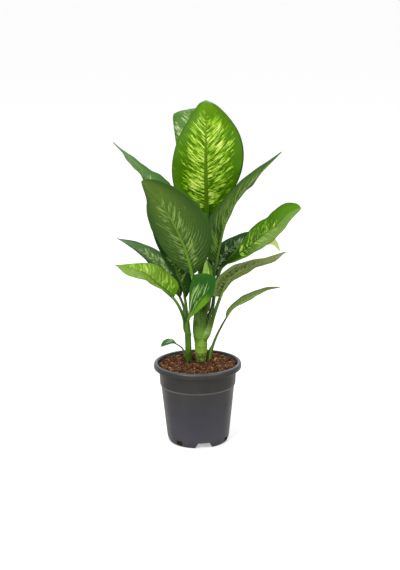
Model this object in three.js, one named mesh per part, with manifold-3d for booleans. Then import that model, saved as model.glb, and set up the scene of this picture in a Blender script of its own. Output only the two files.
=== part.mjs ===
// A potted dieffenbachia: a black nursery pot full of coarse mulch, two canes that stand in it, and fifteen
// leaves on their petioles. Millimetres, +Z up. The origin is the centre of the pot's flat underside, and
// the plant is looked at from -Y, with +X to the right.
import * as THREE from "three";
import { mergeVertices } from "three/addons/utils/BufferGeometryUtils.js";
import Module from "manifold-3d";

const wasm = await Module();
wasm.setup();

// Driving dimensions
const GAP = 0.3; // between two pieces that touch

const POT = {
  height: 178,
  lipRadius: 95,
  lipDepth: 12.5,
  mouthRadius: 86,
  mouthDepth: 4,
  bandTop: 83.7,
  bandFoot: 82.3,
  bandFootHeight: 133,
  beadRadius: 82,
  beadHeight: 130,
  waistRadius: 79.6,
  waistHeight: 127,
  heelRadius: 67.8,
  heelHeight: 14,
  footRadius: 61,
  wall: 2.2,
  cornerLift: 0.5,
  sides: 48,
};
// Air channels pressed up into the floor of the pot, and drain slots in its bottom corner between them
const CHANNEL = { count: 3, first: -79, foot: 19.5, roof: 13.5, height: 13, inner: 26 };
const DRAIN = { first: -15, width: 10, bottom: 3.5, top: 13, inner: 48 };

const SOIL = { edge: 170.5, crown: 173, relief: 1.1, rings: 7 };

// Each cane: its axis from below the soil to its top, and at each of those points its radius. Leaf scars
// are rings that swell it a little.
const CANES = {
  main_cane: {
    axis: [
      [7, 15, 118],
      [7, 15, 172],
      [8, 15, 205],
      [7, 14, 250],
      [9, 14, 314],
    ],
    radii: [10.6, 11.2, 13.8, 16.6, 10.5],
    scars: [181, 196, 213, 232],
    sides: 18,
  },
  left_cane: {
    axis: [
      [-20, 14, 122],
      [-20, 14, 172],
      [-20, 12, 226],
      [-23, 8, 276],
    ],
    radii: [6.4, 6.8, 6.9, 5.6],
    scars: [184, 206],
    sides: 12,
  },
};
const SCAR = { swell: 0.07, reach: 2.2, ring: 3.5, plainRings: 7 };

// Leaf blades: end is the half-width left at the neck and the tip, seat is how high the blade lies on its
// midrib in the midrib's radius, spread is where each half is split across, and phase is how far the waves
// of one margin are ahead of the other's. tipward is where the fold turns to foldTip.
const BLADE = {
  thickness: 1,
  rows: 11,
  end: 1.2,
  seat: 0.7,
  spread: 0.54,
  phase: 0.37,
  nudge: 0.01,
  tipward: [0.55, 0.85],
};
// The midrib stands out under the blade, as deep and as wide either side as these times its radius.
const MIDRIB = { tip: 0.5, depth: 1.7, half: 1.15, widest: 0.3 };
// A petiole lies along its cane over the span of its foot, reach times its own radius out from the cane at
// the two ends of that span, and one that ends a cane rises straight first. It is wider than deep over its
// lowest share, as a sheath, and its last ring is sunk in the blade.
const PETIOLE = {
  rings: 9,
  sides: 7,
  span: 26,
  reach: [0.3, 0.8],
  straight: 14,
  sheathShare: 0.3,
  sheathWidth: 0.5,
  sunk: 0.05,
  sunkRadius: 0.55,
};

// Each leaf: foot is where its petiole leaves the cane, as a height and a bearing in degrees from +X, or a
// point in the soil; rise is the petiole's way to the neck; midrib runs from the neck to the tip. width is
// the half-width either side of the midrib, left and right as the upper face is seen with the tip up. belly
// is how far along each half is widest, and round how full the outline is towards the neck and the tip.
// face is where the upper side looks at the neck, and turns to faceTip. fold lifts each half from flat, all
// the way or until it turns to foldTip, and curl bends it down again towards its margin, in degrees. ruffle
// is the height of the margin's waves.
const LEAVES = {
  crown_leaf: {
    cane: "main_cane",
    onTop: true,
    rise: [[12, 16, 397]],
    midrib: [[22, 25, 504], [22, 18, 567], [22, 15, 631], [23, 27, 696], [23, 48, 733], [24, 72, 737]],
    width: [72, 80],
    belly: [0.38, 0.5],
    round: [0.72, 1],
    face: [0, -1, 0.05],
    faceTip: [0, -0.2, 1],
    fold: [8, 8],
    foldTip: -9,
    curl: [14, 14],
    ruffle: 2.5,
    waves: 2.5,
    petiole: [6.5, 4.6],
  },
  rear_crown_leaf: {
    cane: "main_cane",
    foot: [280, 106],
    rise: [[6, 42, 340], [7, 50, 396]],
    midrib: [
      [8, 54, 450], [-4, 64, 577], [-10, 78, 650],
      [-15, 102, 702], [-19, 130, 708], [-24, 164, 690],
    ],
    width: [35, 42],
    belly: [0.72, 0.4],
    round: [0.45, 0.55],
    face: [-0.2, -0.9, 0.2],
    faceTip: [-0.12, 0.2, 0.9],
    fold: [4, 4],
    curl: [20, 20],
    ruffle: 2,
    waves: 2,
    petiole: [4.4, 3.2],
  },
  upper_left_leaf: {
    cane: "main_cane",
    foot: [266, 165],
    rise: [[-10, 20, 327], [-11, 13, 387]],
    midrib: [
      [-13, 0, 436], [-34, -12, 482], [-67, -20, 538],
      [-100, -14, 581], [-136, 4, 620], [-173, 30, 655],
    ],
    width: [34, 44],
    belly: [0.5, 0.28],
    round: [0.8, 1.5],
    face: [0.35, -0.7, 0.62],
    faceTip: [0.2, -0.5, 0.8],
    fold: [40, 8],
    curl: [10, 14],
    ruffle: 5,
    waves: 2.8,
    petiole: [4.6, 3.2],
  },
  front_leaf: {
    cane: "main_cane",
    foot: [248, -118],
    rise: [[0, -9, 297], [-3, -19, 342]],
    midrib: [
      [-9, -38, 381], [-16, -52, 415], [-30, -68, 464],
      [-54, -80, 516], [-82, -80, 558], [-112, -66, 589],
    ],
    width: [67, 54],
    belly: [0.47, 0.5],
    round: [0.66, 0.75],
    face: [0, 0.9, 0.4],
    faceTip: [0.2, 0.8, 0.5],
    fold: [8, 8],
    curl: [10, 10],
    ruffle: 2,
    waves: 2,
    petiole: [5.2, 4],
  },
  long_left_leaf: {
    soilFoot: [-15, 30, 140],
    rise: [[-15, 30, 176], [-19, 28, 218], [-21, 26, 253], [-28, 24, 291]],
    midrib: [[-37, 24, 317], [-66, 34, 368], [-99, 48, 401], [-131, 62, 420], [-173, 74, 437]],
    width: [20, 28],
    belly: [0.4, 0.4],
    round: [0.8, 1.1],
    face: [0.2, -0.5, 0.84],
    faceTip: [0, -0.5, 0.86],
    fold: [10, 10],
    curl: [20, 20],
    ruffle: 2,
    waves: 2,
    petiole: [3, 2.8],
  },
  bright_left_leaf: {
    cane: "left_cane",
    foot: [226, 232],
    rise: [[-28, -10, 275], [-38, -28, 309]],
    midrib: [
      [-51, -38, 332], [-69, -48, 352], [-86, -56, 368],
      [-104, -64, 388], [-132, -72, 403], [-172, -74, 414],
    ],
    width: [27, 42],
    belly: [0.7, 0.17],
    round: [0.45, 1.3],
    face: [0.2, -0.5, 0.84],
    faceTip: [0, -0.6, 0.8],
    fold: [20, 26],
    curl: [20, 20],
    ruffle: 2,
    waves: 2,
    petiole: [3.8, 3],
  },
  inner_left_leaf: {
    cane: "left_cane",
    onTop: true,
    rise: [],
    midrib: [[-26, 10, 318], [-40, -4, 373], [-60, -20, 428], [-76, -34, 474], [-90, -44, 528]],
    width: [17, 34],
    belly: [0.64, 0.42],
    round: [0.9, 0.6],
    face: [0.1, -0.9, 0.4],
    faceTip: [0.1, -0.8, 0.5],
    fold: [8, 8],
    curl: [16, 16],
    ruffle: 2,
    waves: 2,
    petiole: [3.6, 3],
  },
  folded_leaf: {
    cane: "left_cane",
    foot: [214, -60],
    rise: [[-19, -5, 241]],
    midrib: [[-22, -16, 268], [-8, -38, 302], [7, -56, 331], [24, -72, 357], [39, -82, 388]],
    width: [41, 20],
    belly: [0.66, 0.66],
    round: [0.9, 0.6],
    face: [-0.3, -0.85, 0.4],
    faceTip: [-0.3, -0.85, 0.4],
    fold: [6, 20],
    curl: [10, 10],
    ruffle: 1.5,
    waves: 2,
    petiole: [3.6, 3],
  },
  rolled_leaf: {
    cane: "main_cane",
    foot: [280, -84],
    rise: [],
    midrib: [[15, -9, 327], [20, -12, 350], [22, -16, 382], [21, -20, 416]],
    width: [12, 15],
    belly: [0.45, 0.45],
    round: [0.8, 1],
    face: [0, -0.95, 0.3],
    faceTip: [0, -0.95, 0.3],
    fold: [25, 25],
    curl: [0, 0],
    ruffle: 0.5,
    waves: 1,
    petiole: [3, 2.4],
  },
  upper_right_leaf: {
    cane: "main_cane",
    foot: [263, -46],
    rise: [[23, -3, 297], [31, -2, 347]],
    midrib: [
      [41, -2, 396], [48, -8, 435], [59, -18, 482], [74, -26, 520],
      [98, -32, 558], [130, -30, 592], [180, -16, 639],
    ],
    width: [37, 52],
    belly: [0.64, 0.3],
    round: [1.5, 1],
    face: [-0.5, 0.75, 0.4],
    faceTip: [-0.5, 0.6, 0.6],
    fold: [30, 10],
    curl: [10, 30],
    ruffle: 3,
    waves: 2.5,
    petiole: [4.6, 3.4],
  },
  bright_right_leaf: {
    cane: "main_cane",
    foot: [244, 24],
    rise: [[32, 20, 287], [40, 18, 337]],
    midrib: [
      [53, 20, 381], [78, 14, 403], [111, 16, 426], [141, 18, 451],
      [171, 22, 472], [199, 28, 499], [224, 32, 511],
    ],
    width: [33, 24],
    belly: [0.64, 0.53],
    round: [1, 0.55],
    face: [-0.2, -0.7, 0.7],
    faceTip: [-0.1, -0.6, 0.8],
    fold: [14, 16],
    curl: [20, 40],
    ruffle: 3,
    waves: 2.5,
    petiole: [4.6, 3.4],
  },
  rear_right_leaf: {
    cane: "main_cane",
    foot: [262, 63],
    rise: [[24, 36, 307]],
    midrib: [
      [38, 42, 358], [62, 56, 404], [102, 72, 425],
      [139, 84, 432], [168, 92, 424], [184, 94, 400],
    ],
    width: [30, 24],
    belly: [0.18, 0.5],
    round: [0.4, 1],
    face: [-0.4, -0.6, 0.7],
    faceTip: [0.5, -0.5, 0.7],
    fold: [8, 8],
    curl: [20, 20],
    ruffle: 2,
    waves: 2,
    petiole: [4.2, 3.2],
  },
  olive_leaf: {
    cane: "main_cane",
    foot: [212, -36],
    rise: [[29, 8, 253], [36, 0, 281]],
    midrib: [
      [50, -12, 325], [60, -18, 353], [74, -25, 374], [99, -32, 392],
      [126, -38, 405], [155, -42, 413], [189, -46, 431],
    ],
    width: [22, 37],
    belly: [0.45, 0.3],
    round: [0.65, 0.95],
    face: [-0.45, 0.7, 0.55],
    faceTip: [-0.3, 0.5, 0.8],
    fold: [10, 6],
    curl: [30, 20],
    ruffle: 2,
    waves: 2,
    petiole: [5.2, 3.4],
  },
  low_right_leaf: {
    soilFoot: [27, 24, 140],
    rise: [[27, 24, 176], [32, 21, 202], [44, 16, 235]],
    midrib: [
      [63, 8, 273], [76, 6, 293], [97, 2, 309],
      [123, -4, 326], [148, -10, 339], [178, -16, 347],
    ],
    width: [16, 21],
    belly: [0.45, 0.45],
    round: [0.8, 1],
    face: [-0.4, 0.6, 0.7],
    faceTip: [0.1, 0.4, 0.9],
    fold: [16, 16],
    curl: [20, 20],
    ruffle: 1,
    waves: 2,
    petiole: [4.6, 1.8],
  },
  offshoot_leaf: {
    soilFoot: [-24, 31, 140],
    rise: [[-25, 30, 176], [-33, 26, 200]],
    midrib: [[-47, 22, 212], [-56, 19, 218], [-67, 17, 217], [-79, 14, 208]],
    width: [9, 9],
    belly: [0.5, 0.5],
    round: [0.7, 0.7],
    face: [0.2, -0.4, 0.9],
    faceTip: [-0.4, -0.5, 0.75],
    fold: [10, 10],
    curl: [20, 20],
    ruffle: 0.4,
    waves: 1,
    petiole: [3, 1.3],
  },
};

const COLOURS = { pot: 0x3a3a3d, soil: 0x6b4029, cane: 0x7c9c42, leaf: 0x3f7a2a };

const TURN = 2 * Math.PI;
const CURVE_STEPS = 40; // between two points of a leaf's curve, to measure its length
const radians = THREE.MathUtils.degToRad;
const mix = THREE.MathUtils.lerp;
const vector = (point) => new THREE.Vector3(...point);
const steps = (count) => Array.from({ length: count + 1 }, (_, i) => i / count);

// A closed solid through a row of loops of points. Each loop runs over its front half and back over its
// back half, and both faces are split into triangles along the same diagonals.
function loft(loops) {
  const count = loops[0].length;
  const half = count / 2;
  const triangles = [];
  const quad = (a, b, c, d, turned) =>
    turned ? triangles.push(a, b, d, b, c, d) : triangles.push(a, b, c, a, c, d);
  for (let row = 0; row + 1 < loops.length; row++)
    for (let j = 0; j < count; j++) {
      const next = (j + 1) % count;
      const [low, high] = [row * count, (row + 1) * count];
      quad(low + j, low + next, high + next, high + j, j >= half);
    }
  const last = (loops.length - 1) * count;
  for (let j = 0; j + 1 < half; j++) {
    quad(j, count - 1 - j, count - 2 - j, j + 1, false);
    quad(last + j, last + j + 1, last + count - 2 - j, last + count - 1 - j, false);
  }
  return solid(loops.flat().flatMap((point) => point.toArray()), triangles);
}

// A solid from its vertices and triangles, turned to face outwards.
function solid(positions, triangles) {
  const geometry = new THREE.BufferGeometry();
  geometry.setAttribute("position", new THREE.Float32BufferAttribute(positions, 3));
  geometry.setIndex(triangles);
  return solidOf(geometry);
}

function solidOf(geometry) {
  const bare = new THREE.BufferGeometry();
  bare.setAttribute("position", geometry.getAttribute("position"));
  bare.setIndex(geometry.index);
  const merged = mergeVertices(bare, 1e-4);
  const faces = [];
  let volume = 0;
  const corner = (i) => new THREE.Vector3().fromBufferAttribute(merged.attributes.position, i);
  for (let i = 0; i < merged.index.count; i += 3) {
    const [a, b, c] = merged.index.array.subarray(i, i + 3);
    if (a === b || b === c || c === a) continue;
    faces.push(a, b, c);
    volume += corner(a).dot(corner(b).cross(corner(c)));
  }
  if (volume < 0)
    for (let i = 0; i < faces.length; i += 3) [faces[i], faces[i + 1]] = [faces[i + 1], faces[i]];
  return new wasm.Manifold(
    new wasm.Mesh({
      numProp: 3,
      vertProperties: merged.attributes.position.array,
      triVerts: new Uint32Array(faces),
    }),
  );
}

// The largest body of a solid that a cut may have left in pieces.
function largest(made) {
  return made.decompose().reduce((a, b) => (b.volume() > a.volume() ? b : a));
}

function geometryOf(made) {
  const mesh = made.getMesh();
  const geometry = new THREE.BufferGeometry();
  geometry.setAttribute("position", new THREE.Float32BufferAttribute(mesh.vertProperties, 3));
  geometry.setIndex(new THREE.Uint32BufferAttribute(mesh.triVerts, 1));
  geometry.computeVertexNormals();
  return geometry;
}

// Frames along a curve that turn with it and don't twist, from a first direction across it.
function carriedFrames(curve, stations, firstAcross) {
  let across = firstAcross.clone();
  return stations.map((u) => {
    const along = curve.getTangentAt(u);
    across = across.clone().addScaledVector(along, -across.dot(along)).normalize();
    return { centre: curve.getPointAt(u), across, side: along.clone().cross(across) };
  });
}

function ring(frame, sides, radiusAcross, radiusSide) {
  return Array.from({ length: sides }, (_, k) => {
    const angle = (TURN * k) / sides;
    return frame.centre
      .clone()
      .addScaledVector(frame.across, radiusAcross * Math.cos(angle))
      .addScaledVector(frame.side, radiusSide * Math.sin(angle));
  });
}

// A smooth value between values set at equal steps.
function blend(values, share) {
  const place = THREE.MathUtils.clamp(share, 0, 1) * (values.length - 1);
  const i = Math.min(Math.floor(place), values.length - 2);
  return mix(values[i], values[i + 1], THREE.MathUtils.smootherstep(place - i, 0, 1));
}

// Canes
function heightShare(points, height) {
  const i = points.findIndex((point, n) => n > 0 && height <= point[2]);
  const upper = i < 0 ? points.length - 1 : i;
  const [low, high] = [points[upper - 1][2], points[upper][2]];
  return (upper - 1 + THREE.MathUtils.clamp((height - low) / (high - low), 0, 1)) / (points.length - 1);
}

function caneRadius(cane, height) {
  const swell = cane.scars.reduce((sum, at) => sum + Math.exp(-(((height - at) / SCAR.reach) ** 2)), 0);
  return blend(cane.radii, heightShare(cane.axis, height)) * (1 + SCAR.swell * swell);
}

function caneCentre(cane, height) {
  return new THREE.CatmullRomCurve3(cane.axis.map(vector)).getPoint(heightShare(cane.axis, height));
}

function caneSolid(cane, grow = 0) {
  const [bottom, top] = [cane.axis[0][2], cane.axis.at(-1)[2]];
  const aroundScars = cane.scars.flatMap((at) => [at - SCAR.ring, at, at + SCAR.ring]);
  const clear = (height) => !aroundScars.some((at) => Math.abs(at - height) < SCAR.reach);
  const plain = steps(SCAR.plainRings).map((share) => mix(bottom, top, share)).filter(clear);
  const heights = [...aroundScars, ...plain].sort((a, b) => a - b);
  const loops = heights.map((height) => {
    const frame = {
      centre: caneCentre(cane, height),
      across: new THREE.Vector3(1, 0, 0),
      side: new THREE.Vector3(0, 1, 0),
    };
    if (height === bottom) frame.centre.z -= grow;
    if (height === top) frame.centre.z += grow;
    const radius = caneRadius(cane, height) + grow;
    return ring(frame, cane.sides, radius, radius);
  });
  return loft(loops);
}

// Leaves
function leafCurve(leaf) {
  const cane = CANES[leaf.cane];
  let foot;
  let inward = new THREE.Vector3(0, 1, 0);
  if (leaf.soilFoot) foot = [vector(leaf.soilFoot)];
  else if (leaf.onTop) {
    const top = caneCentre(cane, cane.axis.at(-1)[2]);
    foot = [top.clone().setZ(top.z + GAP), top.clone().setZ(top.z + PETIOLE.straight)];
  } else {
    const [height, bearing] = leaf.foot;
    const outward = new THREE.Vector3(Math.cos(radians(bearing)), Math.sin(radians(bearing)), 0);
    inward = outward.clone().negate();
    foot = PETIOLE.reach.map((share, i) => {
      const level = height + i * PETIOLE.span;
      const reach = caneRadius(cane, level) + leaf.petiole[0] * share;
      return caneCentre(cane, level).addScaledVector(outward, reach);
    });
  }
  const points = [...foot, ...leaf.rise.map(vector), ...leaf.midrib.map(vector)];
  const curve = new THREE.CatmullRomCurve3(points, false, "centripetal");
  curve.arcLengthDivisions = CURVE_STEPS * (points.length - 1);
  const lengths = curve.getLengths();
  const neck = lengths[CURVE_STEPS * (points.length - leaf.midrib.length)] / lengths.at(-1);
  return { curve, neck, inward };
}

// Half the blade's width at a share of its length: it swells to its belly and closes to both ends.
function outline(leaf, s, side) {
  const skew = Math.log(0.5) / Math.log(leaf.belly[side]);
  const swell = Math.max(Math.sin(Math.PI * s ** skew), 0);
  return swell ** mix(leaf.round[0], leaf.round[1], s);
}

function midribRadius(leaf, s) {
  return mix(leaf.petiole[1], MIDRIB.tip, s);
}

// A point of the blade's middle surface, s along the midrib and t across, -1 to 1. Each half leaves the
// midrib at its fold angle and bends along an arc by its curl.
function bladePoint(leaf, path, s, t) {
  const u = mix(path.neck, 1, s);
  const along = path.curve.getTangentAt(u);
  const up = vector(leaf.face).normalize().lerp(vector(leaf.faceTip).normalize(), s);
  up.addScaledVector(along, -up.dot(along)).normalize();
  const across = along.clone().cross(up);
  const side = t < 0 ? 0 : 1;
  const share = outline(leaf, s, side);
  const reach = Math.abs(t) * (BLADE.end + leaf.width[side] * share);
  const tipward = THREE.MathUtils.smoothstep(s, ...BLADE.tipward);
  const fold = radians(mix(leaf.fold[side], leaf.foldTip ?? leaf.fold[side], tipward));
  const bend = radians(leaf.curl[side]) / leaf.width[side];
  const turned = fold - bend * reach;
  const straight = Math.abs(bend) < 1e-6;
  const out = straight ? reach * Math.cos(fold) : (Math.sin(fold) - Math.sin(turned)) / bend;
  const lift = straight ? reach * Math.sin(fold) : (Math.cos(turned) - Math.cos(fold)) / bend;
  const wave = leaf.ruffle * share * t * t * Math.sin(TURN * (leaf.waves * s + BLADE.phase * side));
  return path.curve
    .getPointAt(u)
    .addScaledVector(across, Math.sign(t) * out)
    .addScaledVector(up, lift + wave + BLADE.seat * midribRadius(leaf, s));
}

function bladeSolid(leaf, path) {
  const stations = steps(BLADE.rows).map((share) => (1 - Math.cos(Math.PI * share)) / 2);
  const { nudge } = BLADE;
  const loops = stations.map((s) => {
    const rib = (side) => {
      const half = BLADE.end + leaf.width[side] * outline(leaf, s, side);
      return Math.min((MIDRIB.half * midribRadius(leaf, s)) / half, MIDRIB.widest);
    };
    const across = [-1, -BLADE.spread, -rib(0), 0, rib(1), BLADE.spread, 1];
    const faces = across.map((t) => {
      const centre = bladePoint(leaf, path, s, t);
      const [back, ahead] = [Math.max(s - nudge, 0), Math.min(s + nudge, 1)];
      const along = bladePoint(leaf, path, ahead, t).sub(bladePoint(leaf, path, back, t));
      const outwards = bladePoint(leaf, path, s, t + nudge).sub(bladePoint(leaf, path, s, t - nudge));
      const keel = t === 0 ? MIDRIB.depth * midribRadius(leaf, s) : 0;
      return { centre, up: outwards.cross(along).negate().normalize(), keel };
    });
    const half = BLADE.thickness / 2;
    const upper = faces.map(({ centre, up }) => centre.clone().addScaledVector(up, half));
    const under = faces.map(({ centre, up, keel }) => centre.clone().addScaledVector(up, -half - keel));
    return [...upper, ...under.reverse()];
  });
  return loft(loops);
}

// The petiole, thick and pressed to the cane at its foot, and let into the blade at the neck.
function petioleSolid(leaf, path) {
  const rising = steps(PETIOLE.rings).map((share) => share * path.neck);
  const stations = [...rising, mix(path.neck, 1, PETIOLE.sunk)];
  const loops = carriedFrames(path.curve, stations, path.inward).map((frame, i) => {
    const rise = stations[i] / path.neck;
    const sunk = rise > 1 ? PETIOLE.sunkRadius : 1;
    const radius = mix(leaf.petiole[0], leaf.petiole[1], Math.min(rise, 1)) * sunk;
    const sheath = Math.max(1 - rise / PETIOLE.sheathShare, 0);
    const wide = leaf.cane && !leaf.onTop ? 1 + PETIOLE.sheathWidth * sheath : 1;
    return ring(frame, PETIOLE.sides, radius, radius * wide);
  });
  return loft(loops);
}

function leafSolid(leaf) {
  const path = leafCurve(leaf);
  const whole = petioleSolid(leaf, path).add(bladeSolid(leaf, path));
  if (!leaf.cane || leaf.onTop) return largest(whole);
  return largest(whole.subtract(caneSolid(CANES[leaf.cane], GAP)));
}

// Pot
function turned(profile, sides) {
  const shape = profile.map(([radius, height]) => new THREE.Vector2(radius, height));
  return solidOf(new THREE.LatheGeometry(shape, sides).rotateX(Math.PI / 2));
}

// The outside of the pot's wall from the corner of the foot to just under the lip, as radius and height.
const WALL_OUTSIDE = [
  [POT.footRadius, 0],
  [POT.footRadius + 2.6, 1.6],
  [POT.heelRadius - 1.6, POT.heelHeight / 2],
  [POT.heelRadius, POT.heelHeight],
  [POT.waistRadius, POT.waistHeight],
  [POT.beadRadius, POT.beadHeight],
  [POT.bandFoot, POT.bandFootHeight],
  [POT.bandTop, POT.height - POT.lipDepth],
];

// The same line set in by an amount, with its lowest points lifted to leave the floor as thick.
function wallInside(inset) {
  const lowest = (i) => inset * (1 + POT.cornerLift * i);
  return WALL_OUTSIDE.map(([radius, height], i) => [radius - inset, Math.max(height, lowest(i))]);
}

function potSolid() {
  const [top, under] = [POT.height, POT.height - POT.lipDepth];
  const lip = [
    [POT.lipRadius - 0.8, under],
    [POT.lipRadius, under + 1],
    [POT.lipRadius, top - 4.5],
    [POT.lipRadius - 1.2, top - 1.4],
    [POT.lipRadius - 3.8, top],
    [POT.mouthRadius + 2.2, top - 0.4],
    [POT.mouthRadius + 0.4, top - 2],
    [POT.mouthRadius, top - POT.mouthDepth],
  ];
  const inside = wallInside(POT.wall).reverse();
  const shell = turned([[0, 0], ...WALL_OUTSIDE, ...lip, ...inside, [0, POT.wall]], POT.sides);
  const middle = wallInside(POT.wall / 2).slice(0, 5);
  const core = turned([[0, POT.wall / 2], ...middle, [0, POT.waistHeight]], POT.sides);
  return shell.add(channelSolid(POT.wall).intersect(core)).subtract(channelSolid(0)).subtract(drainSolid());
}

// A straight bar that runs out from the axis at a bearing, with a section given as tangent and height.
function spoke(section, bearing, inner, outer) {
  const outline = new THREE.Shape(section.map(([x, y]) => new THREE.Vector2(x, y)));
  const bar = new THREE.ExtrudeGeometry(outline, { depth: outer - inner, bevelEnabled: false, steps: 1 });
  const out = new THREE.Vector3(Math.cos(radians(bearing)), Math.sin(radians(bearing)), 0);
  const tangent = new THREE.Vector3(-out.y, out.x, 0);
  const place = new THREE.Matrix4().makeBasis(tangent, new THREE.Vector3(0, 0, 1), out);
  return solidOf(bar.applyMatrix4(place.setPosition(out.clone().multiplyScalar(inner))));
}

function spokes(count, make) {
  const made = Array.from({ length: count }, (_, i) => make((360 * i) / count));
  return made.reduce((a, b) => a.add(b));
}

function channelSolid(grow) {
  const { count, first, foot, roof, height, inner } = CHANNEL;
  const base = grow ? POT.wall / 2 : -1;
  const halves = [[foot + grow, base], [roof + grow, height + grow]];
  const section = [...halves, ...halves.map(([x, y]) => [-x, y]).reverse()];
  return spokes(count, (turn) => spoke(section, first + turn, inner - grow, POT.lipRadius));
}

function drainSolid() {
  const { first, width, bottom, top, inner } = DRAIN;
  const half = width / 2;
  const section = [[-half, bottom], [half, bottom], [half, top], [-half, top]];
  return spokes(CHANNEL.count, (turn) => spoke(section, first + turn, inner, POT.lipRadius));
}

// Soil: it fills the pot to a low mound with a rough top, and each stem stands in a plain hole in it.
function soilSurface(share, angle) {
  const rough = Math.sin(5 * angle + 9 * share) + Math.sin(9 * angle - 13 * share) * Math.sin(17 * share);
  const fade = Math.min(4 * share, 1);
  return mix(SOIL.crown, SOIL.edge, share * share) + SOIL.relief * fade * rough;
}

function soilSolid() {
  const wall = wallInside(POT.wall + GAP);
  const [bandRadius, bandHeight] = wall.at(-1);
  const flare = (POT.mouthRadius - POT.bandTop + POT.wall) / (POT.lipDepth - POT.mouthDepth);
  const mouth = bandRadius + flare * (SOIL.edge - SOIL.relief * 2 - bandHeight);
  const circle = (radius, heightAt) =>
    Array.from({ length: POT.sides }, (_, k) => {
      const angle = (TURN * k) / POT.sides;
      return new THREE.Vector3(radius * Math.cos(angle), radius * Math.sin(angle), heightAt(angle));
    });
  const [floor] = wall;
  const loops = [circle(0, () => floor[1]), ...wall.map(([radius, height]) => circle(radius, () => height))];
  for (let i = SOIL.rings; i >= 0; i--) {
    const share = i / SOIL.rings;
    loops.push(circle(mouth * share, (angle) => soilSurface(share, angle)));
  }
  const holes = [
    channelSolid(POT.wall + GAP),
    ...Object.values(CANES).map((cane) => caneSolid(cane, GAP)),
    ...Object.values(LEAVES).filter((leaf) => leaf.soilFoot).map(soilStem),
  ];
  return largest(holes.reduce((rest, hole) => rest.subtract(hole), loft(loops)));
}

// The hole of a leaf that stands in the soil itself: its petiole, a gap wider and a gap deeper.
function soilStem(leaf) {
  const [x, y, z] = leaf.soilFoot;
  const wider = leaf.petiole.map((radius) => radius + GAP / Math.cos(Math.PI / PETIOLE.sides));
  return petioleSolid({ ...leaf, petiole: wider }, leafCurve({ ...leaf, soilFoot: [x, y, z - GAP] }));
}

const material = (colour, roughness) =>
  new THREE.MeshStandardMaterial({ color: colour, roughness, metalness: 0 });

const plant = new THREE.Group();
const addMesh = (name, made, finish) => {
  const mesh = new THREE.Mesh(geometryOf(made), finish);
  mesh.name = name;
  plant.add(mesh);
};

addMesh("pot", potSolid(), material(COLOURS.pot, 0.5));
addMesh("soil", soilSolid(), material(COLOURS.soil, 0.95));
const green = material(COLOURS.leaf, 0.4);
const stem = material(COLOURS.cane, 0.45);
for (const [name, cane] of Object.entries(CANES)) addMesh(name, caneSolid(cane), stem);
for (const [name, leaf] of Object.entries(LEAVES)) addMesh(name, leafSolid(leaf), green);

export default plant;
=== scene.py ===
"""A potted dieffenbachia: variegated leaves on long petioles, two green canes, bark mulch and a black
nursery pot. Blender 4.5. Shapes are worked out in millimetres and put into their meshes in metres."""

import math

import bpy
import numpy as np
from mathutils import Matrix


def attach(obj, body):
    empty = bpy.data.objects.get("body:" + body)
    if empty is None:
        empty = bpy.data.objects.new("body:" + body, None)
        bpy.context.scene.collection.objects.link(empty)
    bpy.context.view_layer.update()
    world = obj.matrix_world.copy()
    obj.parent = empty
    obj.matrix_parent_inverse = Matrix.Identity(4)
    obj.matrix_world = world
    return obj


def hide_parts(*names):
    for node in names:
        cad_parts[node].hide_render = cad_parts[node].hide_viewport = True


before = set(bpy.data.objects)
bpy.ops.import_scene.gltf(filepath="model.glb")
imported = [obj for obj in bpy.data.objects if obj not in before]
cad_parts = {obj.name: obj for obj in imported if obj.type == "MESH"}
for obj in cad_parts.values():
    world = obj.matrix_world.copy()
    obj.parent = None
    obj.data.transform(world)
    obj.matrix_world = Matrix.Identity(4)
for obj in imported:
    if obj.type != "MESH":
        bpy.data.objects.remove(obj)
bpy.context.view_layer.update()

MM = 0.001
TURN = 2 * np.pi

# The photograph's view, in metres and degrees, with its focal length and height in pixels
CAMERA = dict(place=(0.007, -3.2, 1.177), pitch=14.5, roll=0.57, focal_px=1540, picture_height_px=570)

POT = dict(height=178, lip_radius=95, lip_depth=12.5, mouth_radius=86, mouth_depth=4, wall=2.2)
# The outside of the pot's wall, from the corner of the foot to just under the lip
POT_WALL = [(61, 0), (63.6, 1.6), (66.2, 7), (67.8, 14), (79.6, 127), (82, 130), (82.3, 133), (83.7, 165.5)]
# The air channels pressed up into the floor: the first one's bearing in degrees, the half-widths at the foot
# and the roof, the height and the radius where they begin
CHANNEL = dict(count=3, first=-79, foot=19.5, roof=13.5, height=13, inner=26)
# The drain slots through the bottom corner, between two heights
DRAIN = dict(bearings=(-128, -26, 100), width=15, bottom=3.5, top=14.5, inner=48)
# The soil's height at the wall and in the middle
SOIL = dict(edge=170.5, crown=173)

# Each cane: its axis from below the soil to its top, the radius at each of those points, and the heights
# of the rings that old leaves have left. greens are its colours near the soil, above it and at the top, the
# darker top one being a painted shade under the leaves, and its skin is scaly below bark_top. sheath_edge is
# the height of an old sheath's edge at bearing 0 and its climb in a turn. bark_top and sheath_edge are in
# centimetres.
CANES = {
    "main_cane": dict(
        axis=[(7, 15, 118), (7, 15, 172), (8, 15, 205), (7, 14, 250), (9, 14, 314)],
        radii=[10.6, 11.2, 13.8, 16.6, 10.5],
        scars=[181, 196, 213, 232],
        greens=[(102, 134, 36), (138, 180, 58), (54, 82, 10)],
        bark_top=19.6,
        sheath_edge=[15.9, 9.0],
    ),
    "left_cane": dict(
        axis=[(-20, 14, 122), (-20, 14, 172), (-20, 12, 226), (-23, 8, 276)],
        radii=[6.4, 6.8, 6.9, 5.6],
        scars=[184, 206],
        greens=[(52, 86, 8), (74, 118, 20), (58, 96, 14)],
        bark_top=17.9,
        sheath_edge=[40, 0],
    ),
}
# A ring's swelling and its reach up and down, the pinch above it, how much and how far it tilts the skin
# round it, and the half-width of its dark line
SCAR = dict(
    swell=0.035, reach=2.2, pinch=0.03, pinch_at=2.4, pinch_reach=1.1, tilt=0.5, tilt_reach=5, line=0.9,
)
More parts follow.
